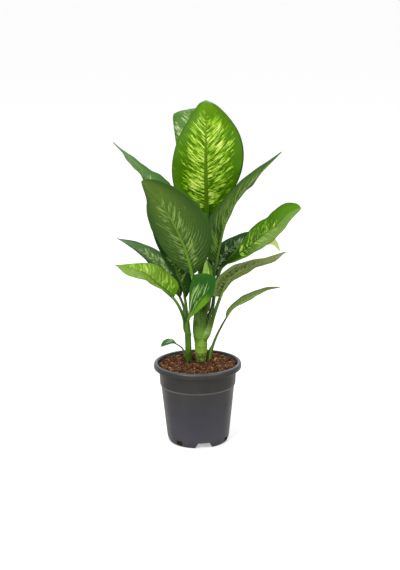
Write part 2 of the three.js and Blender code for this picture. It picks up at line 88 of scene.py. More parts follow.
# Slow waves in a cane's radius: the share of it, the lobes round the cane and their turn with height
SWAY = [(0.02, 2, 0.05), (0.012, 5, -0.09)]

# Each leaf: foot is where its petiole leaves the cane, as a height and a bearing in degrees from +X. With
# soil_foot it starts at a point in the soil instead, and with on_top on the cane's top. rise is the
# petiole's way to the neck, and midrib runs from the neck to the tip. width is the half-width either side
# of the midrib, left and right as the upper face is seen with the tip up. belly is how far along each half
# is widest, and round how full the outline is towards the neck and the tip, fuller when lower. face is
# where the upper side looks at the neck, and turns to face_tip. fold lifts each half from flat, by fold_tip
# near the tip where that is given, and curl bends it down again towards its margin, in degrees. ruffle is
# the height of the margin's waves and waves their number. slant is how far the side veins lean, at the neck
# and at the tip. petiole is its radius at the foot and the neck. sheath is the share of it that has wings
# and their size, clasp how much wider it is on the cane, and inward where its channel faces.
LEAF_DEFAULTS = dict(
    inward=[0, 1, 0], fold=[8, 8], curl=[20, 20], ruffle=2, waves=2, slant=[0.2, 1.3], sheath=[0.42, 0.35],
    clasp=0.8,
)
LEAVES = {
    "crown_leaf": dict(
        cane="main_cane", on_top=True, rise=[[12, 16, 397]],
        midrib=[[22, 25, 504], [22, 18, 567], [22, 15, 631], [23, 27, 696], [23, 48, 733], [24, 72, 737]],
        width=[72, 80], belly=[0.35, 0.48], round=[0.56, 1], face=[0, -1, 0.05], face_tip=[0, -0.2, 1],
        fold_tip=-9, curl=[14, 14], ruffle=2.5, waves=2.5, petiole=[6.5, 4.6],
    ),
    "rear_crown_leaf": dict(
        cane="main_cane", foot=[280, 106], rise=[[6, 42, 340], [7, 50, 396]],
        midrib=[
            [8, 54, 450], [-4, 64, 577], [-10, 78, 650],
            [-15, 102, 702], [-19, 130, 708], [-24, 164, 690],
        ],
        width=[35, 42], belly=[0.72, 0.4], round=[0.45, 0.55], face=[-0.2, -0.9, 0.2],
        face_tip=[-0.12, 0.2, 0.9], fold=[4, 4], petiole=[4.4, 3.2],
    ),
    "upper_left_leaf": dict(
        cane="main_cane", foot=[266, 165], rise=[[-10, 20, 327], [-11, 13, 387]],
        midrib=[
            [-13, 0, 436], [-34, -12, 482], [-67, -20, 538],
            [-100, -14, 581], [-136, 4, 620], [-173, 30, 655],
        ],
        width=[34, 44], belly=[0.5, 0.28], round=[0.8, 1.5], face=[0.35, -0.7, 0.62],
        face_tip=[0.2, -0.5, 0.8], fold=[40, 8], curl=[10, 14], ruffle=6, waves=3.4, sheath=[0.95, 1.1],
        petiole=[4.6, 3.2],
    ),
    "front_leaf": dict(
        cane="main_cane", foot=[248, -118], rise=[[0, -9, 297], [-3, -19, 342]],
        midrib=[
            [-9, -38, 381], [-16, -52, 415], [-30, -68, 464],
            [-54, -80, 516], [-82, -80, 558], [-112, -66, 589],
        ],
        width=[69, 54], belly=[0.51, 0.5], round=[0.6, 0.7], face=[0, 0.9, 0.4], face_tip=[0.2, 0.8, 0.5],
        curl=[10, 10], slant=[0.2, 2], petiole=[5.2, 4],
    ),
    "long_left_leaf": dict(
        soil_foot=[-15, 30, 140], rise=[[-15, 30, 176], [-19, 28, 218], [-21, 26, 253], [-28, 24, 291]],
        midrib=[[-37, 24, 317], [-66, 34, 368], [-99, 48, 401], [-131, 62, 420], [-173, 74, 437]],
        width=[20, 28], belly=[0.4, 0.4], round=[0.8, 1.1], face=[0.2, -0.5, 0.84], face_tip=[0, -0.5, 0.86],
        fold=[10, 10], sheath=[0.86, 1.9], inward=[-0.62, 0.78, 0], petiole=[3, 2.8],
    ),
    "bright_left_leaf": dict(
        cane="left_cane", foot=[226, 232], rise=[[-28, -10, 275], [-38, -28, 309]],
        midrib=[
            [-51, -38, 332], [-69, -48, 352], [-86, -56, 368],
            [-104, -64, 388], [-132, -72, 403], [-172, -74, 414],
        ],
        width=[27, 42], belly=[0.7, 0.17], round=[0.45, 1.3], face=[0.2, -0.5, 0.84],
        face_tip=[0, -0.6, 0.8], fold=[20, 26], slant=[0, 0.6], clasp=0.15, petiole=[3.8, 3],
    ),
    "inner_left_leaf": dict(
        cane="left_cane", on_top=True, rise=[],
        midrib=[[-26, 10, 318], [-40, -4, 373], [-60, -20, 428], [-76, -34, 474], [-90, -44, 528]],
        width=[17, 34], belly=[0.64, 0.42], round=[0.9, 0.6], face=[0.1, -0.9, 0.4],
        face_tip=[0.1, -0.8, 0.5], curl=[16, 16], petiole=[3.6, 3],
    ),
    "folded_leaf": dict(
        cane="left_cane", foot=[214, -60], rise=[[-19, -5, 241]],
        midrib=[[-22, -16, 268], [-8, -38, 302], [7, -56, 331], [24, -72, 357], [39, -82, 388]],
        width=[46, 20], belly=[0.73, 0.66], round=[0.9, 0.6], face=[-0.3, -0.85, 0.4],
        face_tip=[-0.3, -0.85, 0.4], fold=[6, 20], curl=[10, 10], slant=[1.8, 4.2], ruffle=1.5, clasp=0.1,
        petiole=[3.6, 3],
    ),
    "rolled_leaf": dict(
        cane="main_cane", foot=[280, -84], rise=[],
        midrib=[[15, -9, 327], [20, -12, 350], [22, -16, 382], [21, -20, 416]],
        width=[12, 15], belly=[0.45, 0.45], round=[0.8, 1], face=[0, -0.95, 0.3], face_tip=[0, -0.95, 0.3],
        fold=[25, 25], curl=[0, 0], ruffle=0.5, waves=1, petiole=[3, 2.4],
    ),
    "upper_right_leaf": dict(
        cane="main_cane", foot=[263, -46], rise=[[23, -3, 297], [31, -2, 347]],
        midrib=[
            [41, -2, 396], [48, -8, 435], [59, -18, 482], [74, -26, 520],
            [98, -32, 558], [130, -30, 592], [180, -16, 639],
        ],
        width=[37, 52], belly=[0.64, 0.3], round=[1.5, 1], face=[-0.5, 0.75, 0.4], face_tip=[-0.5, 0.6, 0.6],
        fold=[30, 10], curl=[10, 30], slant=[1.2, 3.2], ruffle=3, waves=2.5, petiole=[4.6, 3.4],
    ),
    "bright_right_leaf": dict(
        cane="main_cane", foot=[244, 24], rise=[[32, 20, 287], [40, 18, 337]],
        midrib=[
            [53, 20, 381], [78, 14, 403], [111, 16, 426], [141, 18, 451],
            [171, 22, 472], [199, 28, 499], [224, 32, 511],
        ],
        width=[33, 24], belly=[0.64, 0.53], round=[1, 0.42], face=[-0.2, -0.7, 0.7],
        face_tip=[-0.1, -0.6, 0.8], fold=[14, 16], curl=[20, 40], ruffle=3, waves=2.5, petiole=[4.6, 3.4],
    ),
    "rear_right_leaf": dict(
        cane="main_cane", foot=[262, 63], rise=[[24, 36, 307]],
        midrib=[[38, 42, 358], [62, 56, 404], [102, 72, 425], [139, 84, 432], [168, 92, 424], [184, 94, 400]],
        width=[30, 24], belly=[0.18, 0.5], round=[0.4, 0.75], face=[-0.4, -0.6, 0.7],
        face_tip=[0.5, -0.5, 0.7], petiole=[4.2, 3.2],
    ),
    "olive_leaf": dict(
        cane="main_cane", foot=[212, -36], rise=[[29, 8, 253], [36, 0, 281]],
        midrib=[
            [50, -12, 325], [60, -18, 353], [74, -25, 374], [99, -32, 392],
            [126, -38, 405], [155, -42, 413], [189, -46, 431],
        ],
        width=[26, 38], belly=[0.52, 0.33], round=[0.52, 0.7], face=[-0.45, 0.7, 0.55],
        face_tip=[-0.3, 0.5, 0.8], fold=[10, 6], curl=[30, 20], sheath=[0.6, 1.2], petiole=[5.2, 3.4],
    ),
    "low_right_leaf": dict(
        soil_foot=[27, 24, 140], rise=[[27, 24, 176], [32, 21, 202], [44, 16, 235]],
        midrib=[[63, 8, 273], [76, 6, 293], [97, 2, 309], [123, -4, 326], [148, -10, 339], [178, -16, 347]],
        width=[18, 21], belly=[0.56, 0.5], round=[0.8, 0.9], face=[-0.4, 0.6, 0.7], face_tip=[0.1, 0.4, 0.9],
        fold=[16, 16], ruffle=1, sheath=[0.5, 0.9], inward=[-1, -0.3, 0], petiole=[4.6, 1.8],
    ),
    "offshoot_leaf": dict(
        soil_foot=[-24, 31, 140], rise=[[-25, 30, 176], [-33, 26, 200]],
        midrib=[[-47, 22, 212], [-56, 19, 218], [-67, 17, 217], [-79, 14, 208]],
        width=[9, 9], belly=[0.5, 0.5], round=[0.7, 0.7], face=[0.2, -0.4, 0.9], face_tip=[-0.4, -0.5, 0.75],
        fold=[10, 10], ruffle=0.4, waves=1, sheath=[0.55, 1.5], inward=[1, -0.3, 0], petiole=[3, 1.3],
    ),
}
# A petiole starts at two points a span apart up the cane, each out of its side by a reach in its own radii,
# or at the two heights on_top over the cane's top, and it runs on into the blade by the share sunk, where it
# thins to the share end. It is round the cane for about clasp_reach, and comes out of it over emerge. Its
# channel is as deep as a share of its radius, deeper by another in the sheath, and channel_half wide either
# way. The wings stand at wing_at, are wing_half wide either way and are pale for wing_edge_half, in radians.
PETIOLE = dict(
    span=26, reach=(0.3, 0.8), on_top=(-2, 13.7), sunk=0.05, clasp_reach=22, emerge=30,
    channel=(0.12, 0.16), channel_half=0.55, wing_at=0.9, wing_half=0.3, wing_edge_half=0.2, end=0.55,
)
# end is a blade's least half-width, seat how high it lies on the midrib in that one's radii, and phase the
# share of a wave between its two halves. The ripple on the margin's waves is that share of their height, and
# there are ripples times as many.
BLADE = dict(thickness=0.9, end=0.35, seat=0.7, phase=0.37, ripple=0.3, ripples=2.7)
# The midrib's radius at the tip, and in its radii the keel's depth, its half-width and its rise on top. It
# takes the share limit of the blade's half-width at most.
MIDRIB = dict(tip=0.5, depth=1.7, half=1.15, rise=0.3, limit=0.6)
# Side veins: the spacing, the pleats' depth and the share of it that lies under the middle surface, how far
# from the midrib the pleats are whole, and how much the veins bend to the tip at the margin
VEIN = dict(spacing=7.5, pleat=0.5, low=0.6, whole=6, bend=0.12)
# A blade's rows, and its columns across half the midrib and from there to the margin, a petiole's rings and
# the points round one, and a cane's
GRID = dict(rows=170, rib=4, half=14, petiole=70, around=24, cane_rings=150, cane_around=64)

# The bed's radius, how far it lies over the soil's mound, how deep its edge goes under the soil's, its rings
# and the points round one, and how many chips and fibres lie on it
MULCH = dict(radius=83.4, lift=1.2, skirt=6, rings=60, around=240, chips=3000, fibres=500, seed=7)
# Circles round the stems that the loose mulch stays out of, as x, y and radius
STEMS = [(7, 15, 14.5), (-20, 14, 9), (-15, 30, 5), (27, 24, 5.5)]
# A chip's length range, its width and depth as ranges of shares, its rings' places and sizes along it, and
# how far each of its points is pushed about
CHIP = dict(
    length=(1.1, 3.4), width=(0.3, 0.6), depth=(0.35, 0.8), sides=6, station=(-1, -0.45, 0.4, 1),
    size=(0.45, 1, 0.95, 0.35), push=0.18,
)
# A fibre's length, its radius and how high it lies, as ranges, and its rings and sides
FIBRE = dict(length=(3, 9), radius=(0.22, 0.45), lift=(2.6, 4.6), rings=7, sides=3)


# Small helpers on numbers and vectors
def mix(a, b, share):
    return a + (b - a) * share


def smooth(value, low, high):
    """0 below low, 1 above high, and between them the even S of 3 w^2 - 2 w^3."""
    share = np.clip((value - low) / (high - low), 0, 1)
    return share * share * (3 - 2 * share)


def bell(value, width):
    """exp(-(value / width)^2): 1 at 0, and next to nothing past twice the width."""
    return np.exp(-((value / width) ** 2))


def of_side(pair, right):
    """A pair's second value on a blade's right half and its first on the left."""
    return np.where(right, pair[1], pair[0])


def unit(vector):
    return vector / np.linalg.norm(vector, axis=-1, keepdims=True)


def dot(a, b):
    return (a * b).sum(-1, keepdims=True)


def angles(count):
    return TURN * np.arange(count) / count


def heading(bearing):
    turn = math.radians(bearing)
    return np.array([math.cos(turn), math.sin(turn), 0])


def eased(values, share):
    """A value between values set at equal steps, eased in and out of each by 6 w^5 - 15 w^4 + 10 w^3."""
    place = np.clip(share, 0, 1) * (len(values) - 1)
    i = np.minimum(place.astype(int), len(values) - 2)
    w = place - i
    values = np.asarray(values, float)
    return mix(values[i], values[i + 1], w**3 * (w * (6 * w - 15) + 10))


def spline(points, steps=80):
    """A centripetal Catmull-Rom curve: each stretch is the cubic through its two points whose slopes there
    come from the neighbours, weighed by the root of the distance to them."""
    points = np.asarray(points, float)
    row = np.vstack([2 * points[0] - points[1], points, 2 * points[-1] - points[-2]])
    share = np.linspace(0, 1, steps, endpoint=False)[:, None]
    stretches = []
    for p0, p1, p2, p3 in zip(row, row[1:], row[2:], row[3:]):
        before, here, after = (np.linalg.norm(b - a) ** 0.5 for a, b in ((p0, p1), (p1, p2), (p2, p3)))
        start = ((p1 - p0) / before - (p2 - p0) / (before + here) + (p2 - p1) / here) * here
        end = ((p2 - p1) / here - (p3 - p1) / (here + after) + (p3 - p2) / after) * here
        cubic = 2 * (p1 - p2) + start + end
        square = -3 * (p1 - p2) - 2 * start - end
        stretches.append(((cubic * share + square) * share + start) * share + p1)
    return np.vstack([*stretches, points[-1:]])


class Route:
    """A smooth curve through points, read at shares of its length. neck is the share at one of them."""

    steps = 80

    def __init__(self, points, neck_index):
        self.line = spline(points, self.steps)
        walked = np.concatenate([[0], np.cumsum(np.linalg.norm(np.diff(self.line, axis=0), axis=1))])
        self.length = walked[-1]
        self.walked = walked / self.length
        self.ways = unit(np.gradient(self.line, axis=0))
        self.neck = self.walked[self.steps * neck_index]

    def read(self, rows, share):
        return np.stack([np.interp(share, self.walked, rows[:, k]) for k in range(3)], -1)

    def point(self, share):
        return self.read(self.line, share)

    def along(self, share):
        return unit(self.read(self.ways, share))


# Meshes
def ring_faces(rings, around):
    """Quads between rings of points, each ring closed on itself, as an array of vertex numbers."""
    index = np.arange(rings * around).reshape(rings, around)
    turned = np.roll(index, -1, axis=1)
    return np.stack([index[:-1], turned[:-1], turned[1:], index[1:]], -1).reshape(-1, 4)


def grid_faces(index):
    """Quads between the rows and columns of a grid of vertex numbers."""
    return np.stack([index[:-1, :-1], index[:-1, 1:], index[1:, 1:], index[1:, :-1]], -1).reshape(-1, 4)


def tube_faces(rings, sides, copies=1):
    """The walls and both end caps of a tube, or of copies of it whose points follow each other."""
    first = rings * sides * np.arange(copies)[:, None, None]
    walls = ring_faces(rings, sides)[None] + first
    caps = np.stack([np.arange(sides)[::-1], (rings - 1) * sides + np.arange(sides)])[None] + first
    return walls.reshape(-1, 4).tolist() + caps.reshape(-1, sides).tolist()


def placed(name, data):
    """An object at the origin that shows the data."""
    thing = bpy.data.objects.new(name, data)
    bpy.context.scene.collection.objects.link(thing)
    return thing


def put_mesh(name, points, faces, materials, slots=None, values=None, smooth_faces=True):
    """A mesh object from points in millimetres. values are named vectors, one a point."""
    mesh = bpy.data.meshes.new(name)
    mesh.from_pydata((np.asarray(points) * MM).tolist(), [], faces)
    for material in materials:
        mesh.materials.append(material)
    if slots is not None:
        mesh.polygons.foreach_set("material_index", np.asarray(slots, np.int32))
    mesh.polygons.foreach_set("use_smooth", np.full(len(mesh.polygons), smooth_faces))
    for key, rows in (values or {}).items():
        attribute = mesh.attributes.new(key, "FLOAT_VECTOR", "POINT")
        attribute.data.foreach_set("vector", np.asarray(rows, np.float32).ravel())
    mesh.update()
    return placed(name, mesh)


def piece(thing, slot, *nodes):
    """Puts the thing on the one body and hides the CAD nodes that it stands for."""
    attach(thing, "root")
    for node in nodes:
        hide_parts(node)
    return thing


# Canes
def cane_share(cane, height):
    """How far up the cane a height is, with each stretch of its axis counted alike."""
    levels = [point[2] for point in cane["axis"]]
    return np.interp(height, levels, np.linspace(0, 1, len(levels)))


def cane_radius(cane, height):
    """The eased radii, times one plus a bell at each leaf scar."""
    height = np.asarray(height, float)
    swell = bell(height[..., None] - np.asarray(cane["scars"], float), SCAR["reach"]).sum(-1)
    return eased(cane["radii"], cane_share(cane, height)) * (1 + SCAR["swell"] * swell)


def cane_centre(cane, height):
    """The point of the cane's axis at a height, on the smooth curve through its points."""
    line = spline(cane["axis"])
    share = np.linspace(0, 1, len(line))
    return np.stack([np.interp(cane_share(cane, height), share, line[:, k]) for k in range(3)], -1)


def make_cane(name, cane, material):
    """A tube round the cane's axis, ring by ring: radius = eased radii, swollen at each leaf scar and pinched
    just above it, with slow waves that are not the same all round. Near a scar the rings tilt a little.
    stem_place keeps the scar's dark line, the share of a turn and the height in centimetres."""
    rings, around = GRID["cane_rings"], GRID["cane_around"]
    height = np.linspace(cane["axis"][0][2], cane["axis"][-1][2], rings)
    angle = angles(around)
    above = height[:, None] - np.asarray(cane["scars"], float)
    pinch = SCAR["pinch"] * bell(above - SCAR["pinch_at"], SCAR["pinch_reach"]).sum(-1)
    sway = sum(share * np.sin(lobes * angle + twist * height[:, None]) for share, lobes, twist in SWAY)
    radius = (cane_radius(cane, height) * (1 - pinch))[:, None] * (1 + sway)
    tilt = SCAR["tilt"] * bell(above, SCAR["tilt_reach"]).sum(-1)[:, None] * np.sin(angle)
    ring = np.stack([radius * np.cos(angle), radius * np.sin(angle), tilt], -1)
    points = (cane_centre(cane, height)[:, None, :] + ring).reshape(-1, 3)
    line = np.repeat(bell(above, SCAR["line"]).sum(-1), around)
    place = np.stack([line, np.tile(angle / TURN, rings), np.repeat(height / 10, around)], -1)
    faces = tube_faces(rings, around)
    made = put_mesh(name + "_stem", points, faces, [material], values={"stem_place": place})
    return piece(made, "cane", name)


# Leaves
def leaf_route(leaf):
    """The curve from the petiole's foot to the blade's tip, and where the petiole's channel faces."""
    cane = CANES.get(leaf.get("cane"))
    inward = unit(np.array(leaf["inward"], float))
    if "soil_foot" in leaf:
        foot = [leaf["soil_foot"]]
    elif leaf.get("on_top"):
        top = cane_centre(cane, cane["axis"][-1][2])
        foot = [top + (0, 0, over) for over in PETIOLE["on_top"]]
    else:
        height, bearing = leaf["foot"]
        outward = heading(bearing)
        inward = -outward
        levels = [height, height + PETIOLE["span"]]
        foot = [
            cane_centre(cane, level) + outward * (cane_radius(cane, level) + leaf["petiole"][0] * reach)
            for level, reach in zip(levels, PETIOLE["reach"])
        ]
    points = [*foot, *leaf["rise"], *leaf["midrib"]]
    return Route(points, len(points) - len(leaf["midrib"])), inward


def outline(leaf, s, right):
    """Half the blade's width as a share: sin(pi s^q), with q set by the belly, raised to round."""
    swell = np.maximum(np.sin(np.pi * s ** (np.log(0.5) / np.log(of_side(leaf["belly"], right)))), 0)
    return swell ** mix(leaf["round"][0], leaf["round"][1], s)


def midrib_radius(leaf, s):
    """The petiole's radius at the neck, thinning evenly to the midrib's at the tip."""
    return mix(leaf["petiole"][1], MIDRIB["tip"], s)


def blade_middle(leaf, route, s, reach, half):
    """The blade's middle surface. From the midrib each half runs out along an arc that starts at its fold
    angle and bends back by its curl: out = (sin fold - sin(fold - bend reach)) / bend, and lift in the same
    way with cosines. The margin's wave grows with the square of the way out, and carries a finer ripple."""
    u = mix(route.neck, 1, s[:, 0])
    along = route.along(u)
    up = mix(unit(np.array(leaf["face"], float)), unit(np.array(leaf["face_tip"], float)), s)
    up = unit(up - along * dot(up, along))
    across = np.cross(along, up)
    right = reach > 0
    away = np.abs(reach)
    fold = of_side(leaf["fold"], right)
    fold = np.radians(mix(fold, leaf.get("fold_tip", fold), smooth(s, 0.55, 0.85)))
    bend = np.maximum(np.radians(of_side(leaf["curl"], right)), 1e-4) / of_side(leaf["width"], right)
    turned = fold - bend * away
    out = (np.sin(fold) - np.sin(turned)) / bend
    lift = (np.cos(turned) - np.cos(fold)) / bend
    t = away / half
    wave = np.sin(TURN * (leaf["waves"] * s + BLADE["phase"] * right))
    ripple = np.sin(TURN * (BLADE["ripples"] * leaf["waves"] * s + 0.6 * right + 0.2))
    ripple = BLADE["ripple"] * t**2 * ripple
    wave = leaf["ruffle"] * outline(leaf, s, right) * t**2 * (wave + ripple)
    raised = lift + wave + BLADE["seat"] * midrib_radius(leaf, s)
    sideways = (np.sign(reach) * out)[..., None] * across[:, None, :]
    return route.point(u)[:, None, :] + sideways + raised[..., None] * up[:, None, :]


def make_blade(leaf, route):
    """A thin closed sheet in rows from neck to tip. Each row crosses the under side's round keel and both
    halves; the two faces are half the thickness off the middle surface and meet at the margin. The sheet
    is pleated by |sin(pi phase)|, where phase counts the side veins: the length along the midrib, less the
    way out times a slant that grows towards the tip, over the veins' spacing. leaf_place keeps the share
    along, the share out and which face, and vein_place the phase and the way out in centimetres and in
    midribs."""
    rows = (1 - np.cos(np.pi * np.linspace(0, 1, GRID["rows"]))) / 2
    s = rows[:, None]
    inner = np.linspace(0, 1, GRID["rib"] + 1)
    outer = np.linspace(0, 1, GRID["half"] + 1)[1:]
    sides = []
    for side in (0, 1):
        half = BLADE["end"] + leaf["width"][side] * outline(leaf, s, side)
        rib = np.minimum(MIDRIB["half"] * midrib_radius(leaf, s), MIDRIB["limit"] * half)
        sides.append((np.hstack([rib * inner, rib + (half - rib) * outer]), half, rib))
    (left, left_half, left_rib), (right, right_half, right_rib) = sides
    reach = np.hstack([-left[:, :0:-1], right])
    columns = reach.shape[1]
    is_right = np.arange(columns) > columns // 2
    half = np.where(is_right, right_half, left_half)
    rib = np.where(is_right, right_rib, left_rib)
    middle = blade_middle(leaf, route, s, reach, half)
    normal = unit(np.cross(np.gradient(middle, axis=1), np.gradient(middle, axis=0)))

    away = np.abs(reach)
    t = away / half
    length = route.length * (1 - route.neck)
    slant = mix(leaf["slant"][0], leaf["slant"][1], s)
    phase = (s * length - slant * away - VEIN["bend"] * away**2 / half) / VEIN["spacing"]
    pleat = np.abs(np.sin(np.pi * phase)) - VEIN["low"]
    pleat = pleat * smooth(away, rib, rib + VEIN["whole"]) * (1 - t**4)
    pleat = VEIN["pleat"] * pleat * smooth(s, 0, 0.12) * (1 - smooth(s, 0.85, 1))
    in_rib = np.clip(1 - (away / rib) ** 2, 0, 1)
    rise = MIDRIB["rise"] * midrib_radius(leaf, s) * in_rib**1.5
    keel = MIDRIB["depth"] * midrib_radius(leaf, s) * np.sqrt(in_rib)
    thin = BLADE["thickness"] / 2 * np.sqrt(np.clip(1 - t**6, 0, 1))
    upper = middle + normal * (pleat + thin + rise)[..., None]
    under = middle + normal * (pleat - thin - keel)[..., None]

    top = np.arange(reach.size).reshape(reach.shape)
    low = top.copy()
    low[:, 1:-1] = reach.size + np.arange(GRID["rows"] * (columns - 2)).reshape(GRID["rows"], -1)
    faces = np.concatenate([grid_faces(top), grid_faces(low)[:, ::-1]]).tolist()
    faces.append([*top[0, ::-1], *low[0, 1:-1]])
    faces.append([*top[-1], *low[-1, -2:0:-1]])
    points = np.concatenate([upper.reshape(-1, 3), under[:, 1:-1].reshape(-1, 3)])
    place = np.stack([np.broadcast_to(s, t.shape), t * np.sign(reach), np.ones_like(t)], -1)
    below = place[:, 1:-1] * (1, 1, 0)
    vein = np.stack([phase + 100 * (reach > 0), away / 10, np.minimum(away / rib, 9)], -1)
    values = {
        "leaf_place": np.concatenate([place.reshape(-1, 3), below.reshape(-1, 3)]),
        "vein_place": np.concatenate([vein.reshape(-1, 3), vein[:, 1:-1].reshape(-1, 3)]),
    }
    return points, faces, values


def make_petiole(leaf, route, inward):
    """A tube along the curve up to the neck and a little into the blade. Its section is round with a
    channel on the side that faces the cane, and along the sheath two thin wings stand either side of the
    channel: radius times 1 + wing bell(angle - wing_at) - channel bell(angle). A foot on a cane comes out
    of it gradually, is wide where it clasps the cane and bends round it, by the square of the way to the
    side over 2.4 of the cane's radii. The rings lie closer at the foot, at even steps to the power 1.35.
    stem_place keeps the share of the petiole, the share of the half turn and the way in centimetres."""
    rings, around = GRID["petiole"], GRID["around"]
    end = mix(route.neck, 1, PETIOLE["sunk"])
    share = end * np.linspace(0, 1, rings) ** 1.35
    rise = np.minimum(share / route.neck, 1)[:, None]
    along = route.along(share)
    across = unit(inward - along * dot(np.broadcast_to(inward, along.shape), along))
    side = np.cross(along, across)
    angle = angles(around)
    turn = np.where(angle > np.pi, TURN - angle, angle)
    sheath_end, wing = leaf["sheath"]
    sheathed = 1 - smooth(rise, sheath_end - 0.1, sheath_end)
    foot, neck = leaf["petiole"]
    thinned = mix(1, PETIOLE["end"], smooth(share / route.neck, 1, end / route.neck))[:, None]
    radius = mix(foot, neck, rise) * thinned
    wings = wing * sheathed * bell(turn - PETIOLE["wing_at"], PETIOLE["wing_half"])
    plain, deeper = PETIOLE["channel"]
    channel = (plain + deeper * sheathed) * bell(turn, PETIOLE["channel_half"]) * (1 - smooth(rise, 0.8, 1))
    section = radius * (1 + wings - channel)
    deep, wide = section * np.cos(angle), section * np.sin(angle)
    walked = (share * route.length)[:, None]
    if "foot" in leaf:
        wide = wide * (1 + leaf["clasp"] * bell(walked, PETIOLE["clasp_reach"]))
        bent = wide**2 / (2.4 * float(cane_radius(CANES[leaf["cane"]], leaf["foot"][0])))
        deep = deep + bent * np.exp(-walked / PETIOLE["clasp_reach"])
        deep = deep + 2 * foot * (1 - smooth(walked, 0, PETIOLE["emerge"]))
    ring = deep[..., None] * across[:, None] + wide[..., None] * side[:, None]
    points = (route.point(share)[:, None] + ring).reshape(-1, 3)
    up, way = np.repeat(rise[:, 0], around), np.repeat(walked[:, 0] / 10, around)
    place = np.stack([up, np.tile(turn / np.pi, rings), way], -1)
    edge = (sheathed * bell(turn - PETIOLE["wing_at"], PETIOLE["wing_edge_half"])).ravel()
    values = {"stem_place": place, "stem_wing": np.stack([edge, edge, edge], -1)}
    return points, tube_faces(rings, around), values


def make_leaf(name, leaf, blade_green, petiole_green):
    """The blade and its petiole in one mesh, with a material each."""
    leaf = {**LEAF_DEFAULTS, **leaf}
    route, inward = leaf_route(leaf)
    blade_points, blade_faces, blade_values = make_blade(leaf, route)
    stem_points, stem_faces, stem_values = make_petiole(leaf, route, inward)
    first = len(blade_points)
    faces = blade_faces + [[first + i for i in face] for face in stem_faces]
    slots = [0] * len(blade_faces) + [1] * len(stem_faces)
    values = {key: np.concatenate([rows, np.zeros_like(stem_points)]) for key, rows in blade_values.items()}
    for key, rows in stem_values.items():
        values[key] = np.concatenate([np.zeros_like(blade_points), rows])
    points = np.concatenate([blade_points, stem_points])
    made = put_mesh(name + "_blade", points, faces, [blade_green, petiole_green], slots, values)
    return piece(made, "leaf", name)


# Pot
def softened(profile, cut=1.2, count=6):
    """The profile with each inner corner rounded: the arc of a quadratic Bezier from a cut before the
    corner to a cut after it, the cut being no longer than 0.45 of the shorter side."""
    points = np.asarray(profile, float)
    before, here, after = points[:-2], points[1:-1], points[2:]
    reach = np.minimum(np.linalg.norm(here - before, axis=1), np.linalg.norm(after - here, axis=1))
    reach = np.minimum(cut, 0.45 * reach)[:, None]
    start, end = here + unit(before - here) * reach, here + unit(after - here) * reach
    w = np.linspace(0, 1, count)[:, None, None]
    arcs = (1 - w) ** 2 * start + 2 * w * (1 - w) * here + w**2 * end
    return np.vstack([points[:1], arcs.transpose(1, 0, 2).reshape(-1, 2), points[-1:]])


def turned(name, profile, around=160):
    """A solid of revolution: the profile, as radius and height from axis to axis, turned round Z."""
    profile = np.asarray(profile, float)
    angle = angles(around)
    radius, height = profile[1:-1].T
    x, y = radius[:, None] * np.cos(angle), radius[:, None] * np.sin(angle)
    ring = np.stack([x, y, np.broadcast_to(height[:, None], x.shape)], -1).reshape(-1, 3)
    points = np.vstack([ring, (0, 0, profile[0, 1]), (0, 0, profile[-1, 1])])
    faces = ring_faces(len(radius), around).tolist()
    first, last = len(ring), len(ring) + 1
    start = len(ring) - around
    faces += [[(k + 1) % around, k, first] for k in range(around)]
    faces += [[start + k, start + (k + 1) % around, last] for k in range(around)]
    return put_mesh(name, points, faces, [])


def wall_inside(inset):
    """The pot's wall moved in by the inset. The points by the floor are moved up too, to the inset and then
    half an inset more for each."""
    lowest = [inset * (1 + 0.5 * i) for i in range(len(POT_WALL))]
    return [(radius - inset, max(height, low)) for (radius, height), low in zip(POT_WALL, lowest)]


def bar(name, section, bearing, inner):
    """A straight prism that runs out at a bearing, from the inner radius to past the wall. Its section is in
    steps along the tangent and up."""
    out = heading(bearing)
    tangent = np.array([-out[1], out[0], 0])
    flat = np.array([x * tangent + (0, 0, z) for x, z in section])
    points = np.vstack([flat + out * inner, flat + out * POT["lip_radius"]])
    n = len(section)
    faces = [[k, (k + 1) % n, n + (k + 1) % n, n + k] for k in range(n)]
    faces += [list(range(n))[::-1], list(range(n, 2 * n))]
    return put_mesh(name, points, faces, [])


def channel_bars(grow):
    """The air channels under the floor, or their covers where they grow by the wall's thickness."""
    foot, roof, height = (CHANNEL[key] + grow for key in ("foot", "roof", "height"))
    base = POT["wall"] / 2 if grow else -1
    section = [(-foot, base), (foot, base), (roof, height), (-roof, height)]
    bearings = [CHANNEL["first"] + 360 * i / CHANNEL["count"] for i in range(CHANNEL["count"])]
    return [bar("channel", section, bearing, CHANNEL["inner"] - grow) for bearing in bearings]


def drain_bars():
    """A bar of the slots' section at each slot's bearing."""
    half, bottom, top = DRAIN["width"] / 2, DRAIN["bottom"], DRAIN["top"]
    section = [(-half, bottom), (half, bottom), (half, top), (-half, top)]
    return [bar("drain", section, bearing, DRAIN["inner"]) for bearing in DRAIN["bearings"]]


def combined(thing, others, operation, keep=False):
    """The thing joined with the others, cut by them or cut down to them. They go unless they are kept."""
    for other in others:
        step = thing.modifiers.new(operation.lower(), "BOOLEAN")
        step.operation, step.solver, step.object = operation, "EXACT", other
        bpy.context.view_layer.update()
        mesh = bpy.data.meshes.new_from_object(thing.evaluated_get(bpy.context.evaluated_depsgraph_get()))
        thing.modifiers.clear()
        thing.data = mesh
        if not keep:
            bpy.data.objects.remove(other)
    return thing


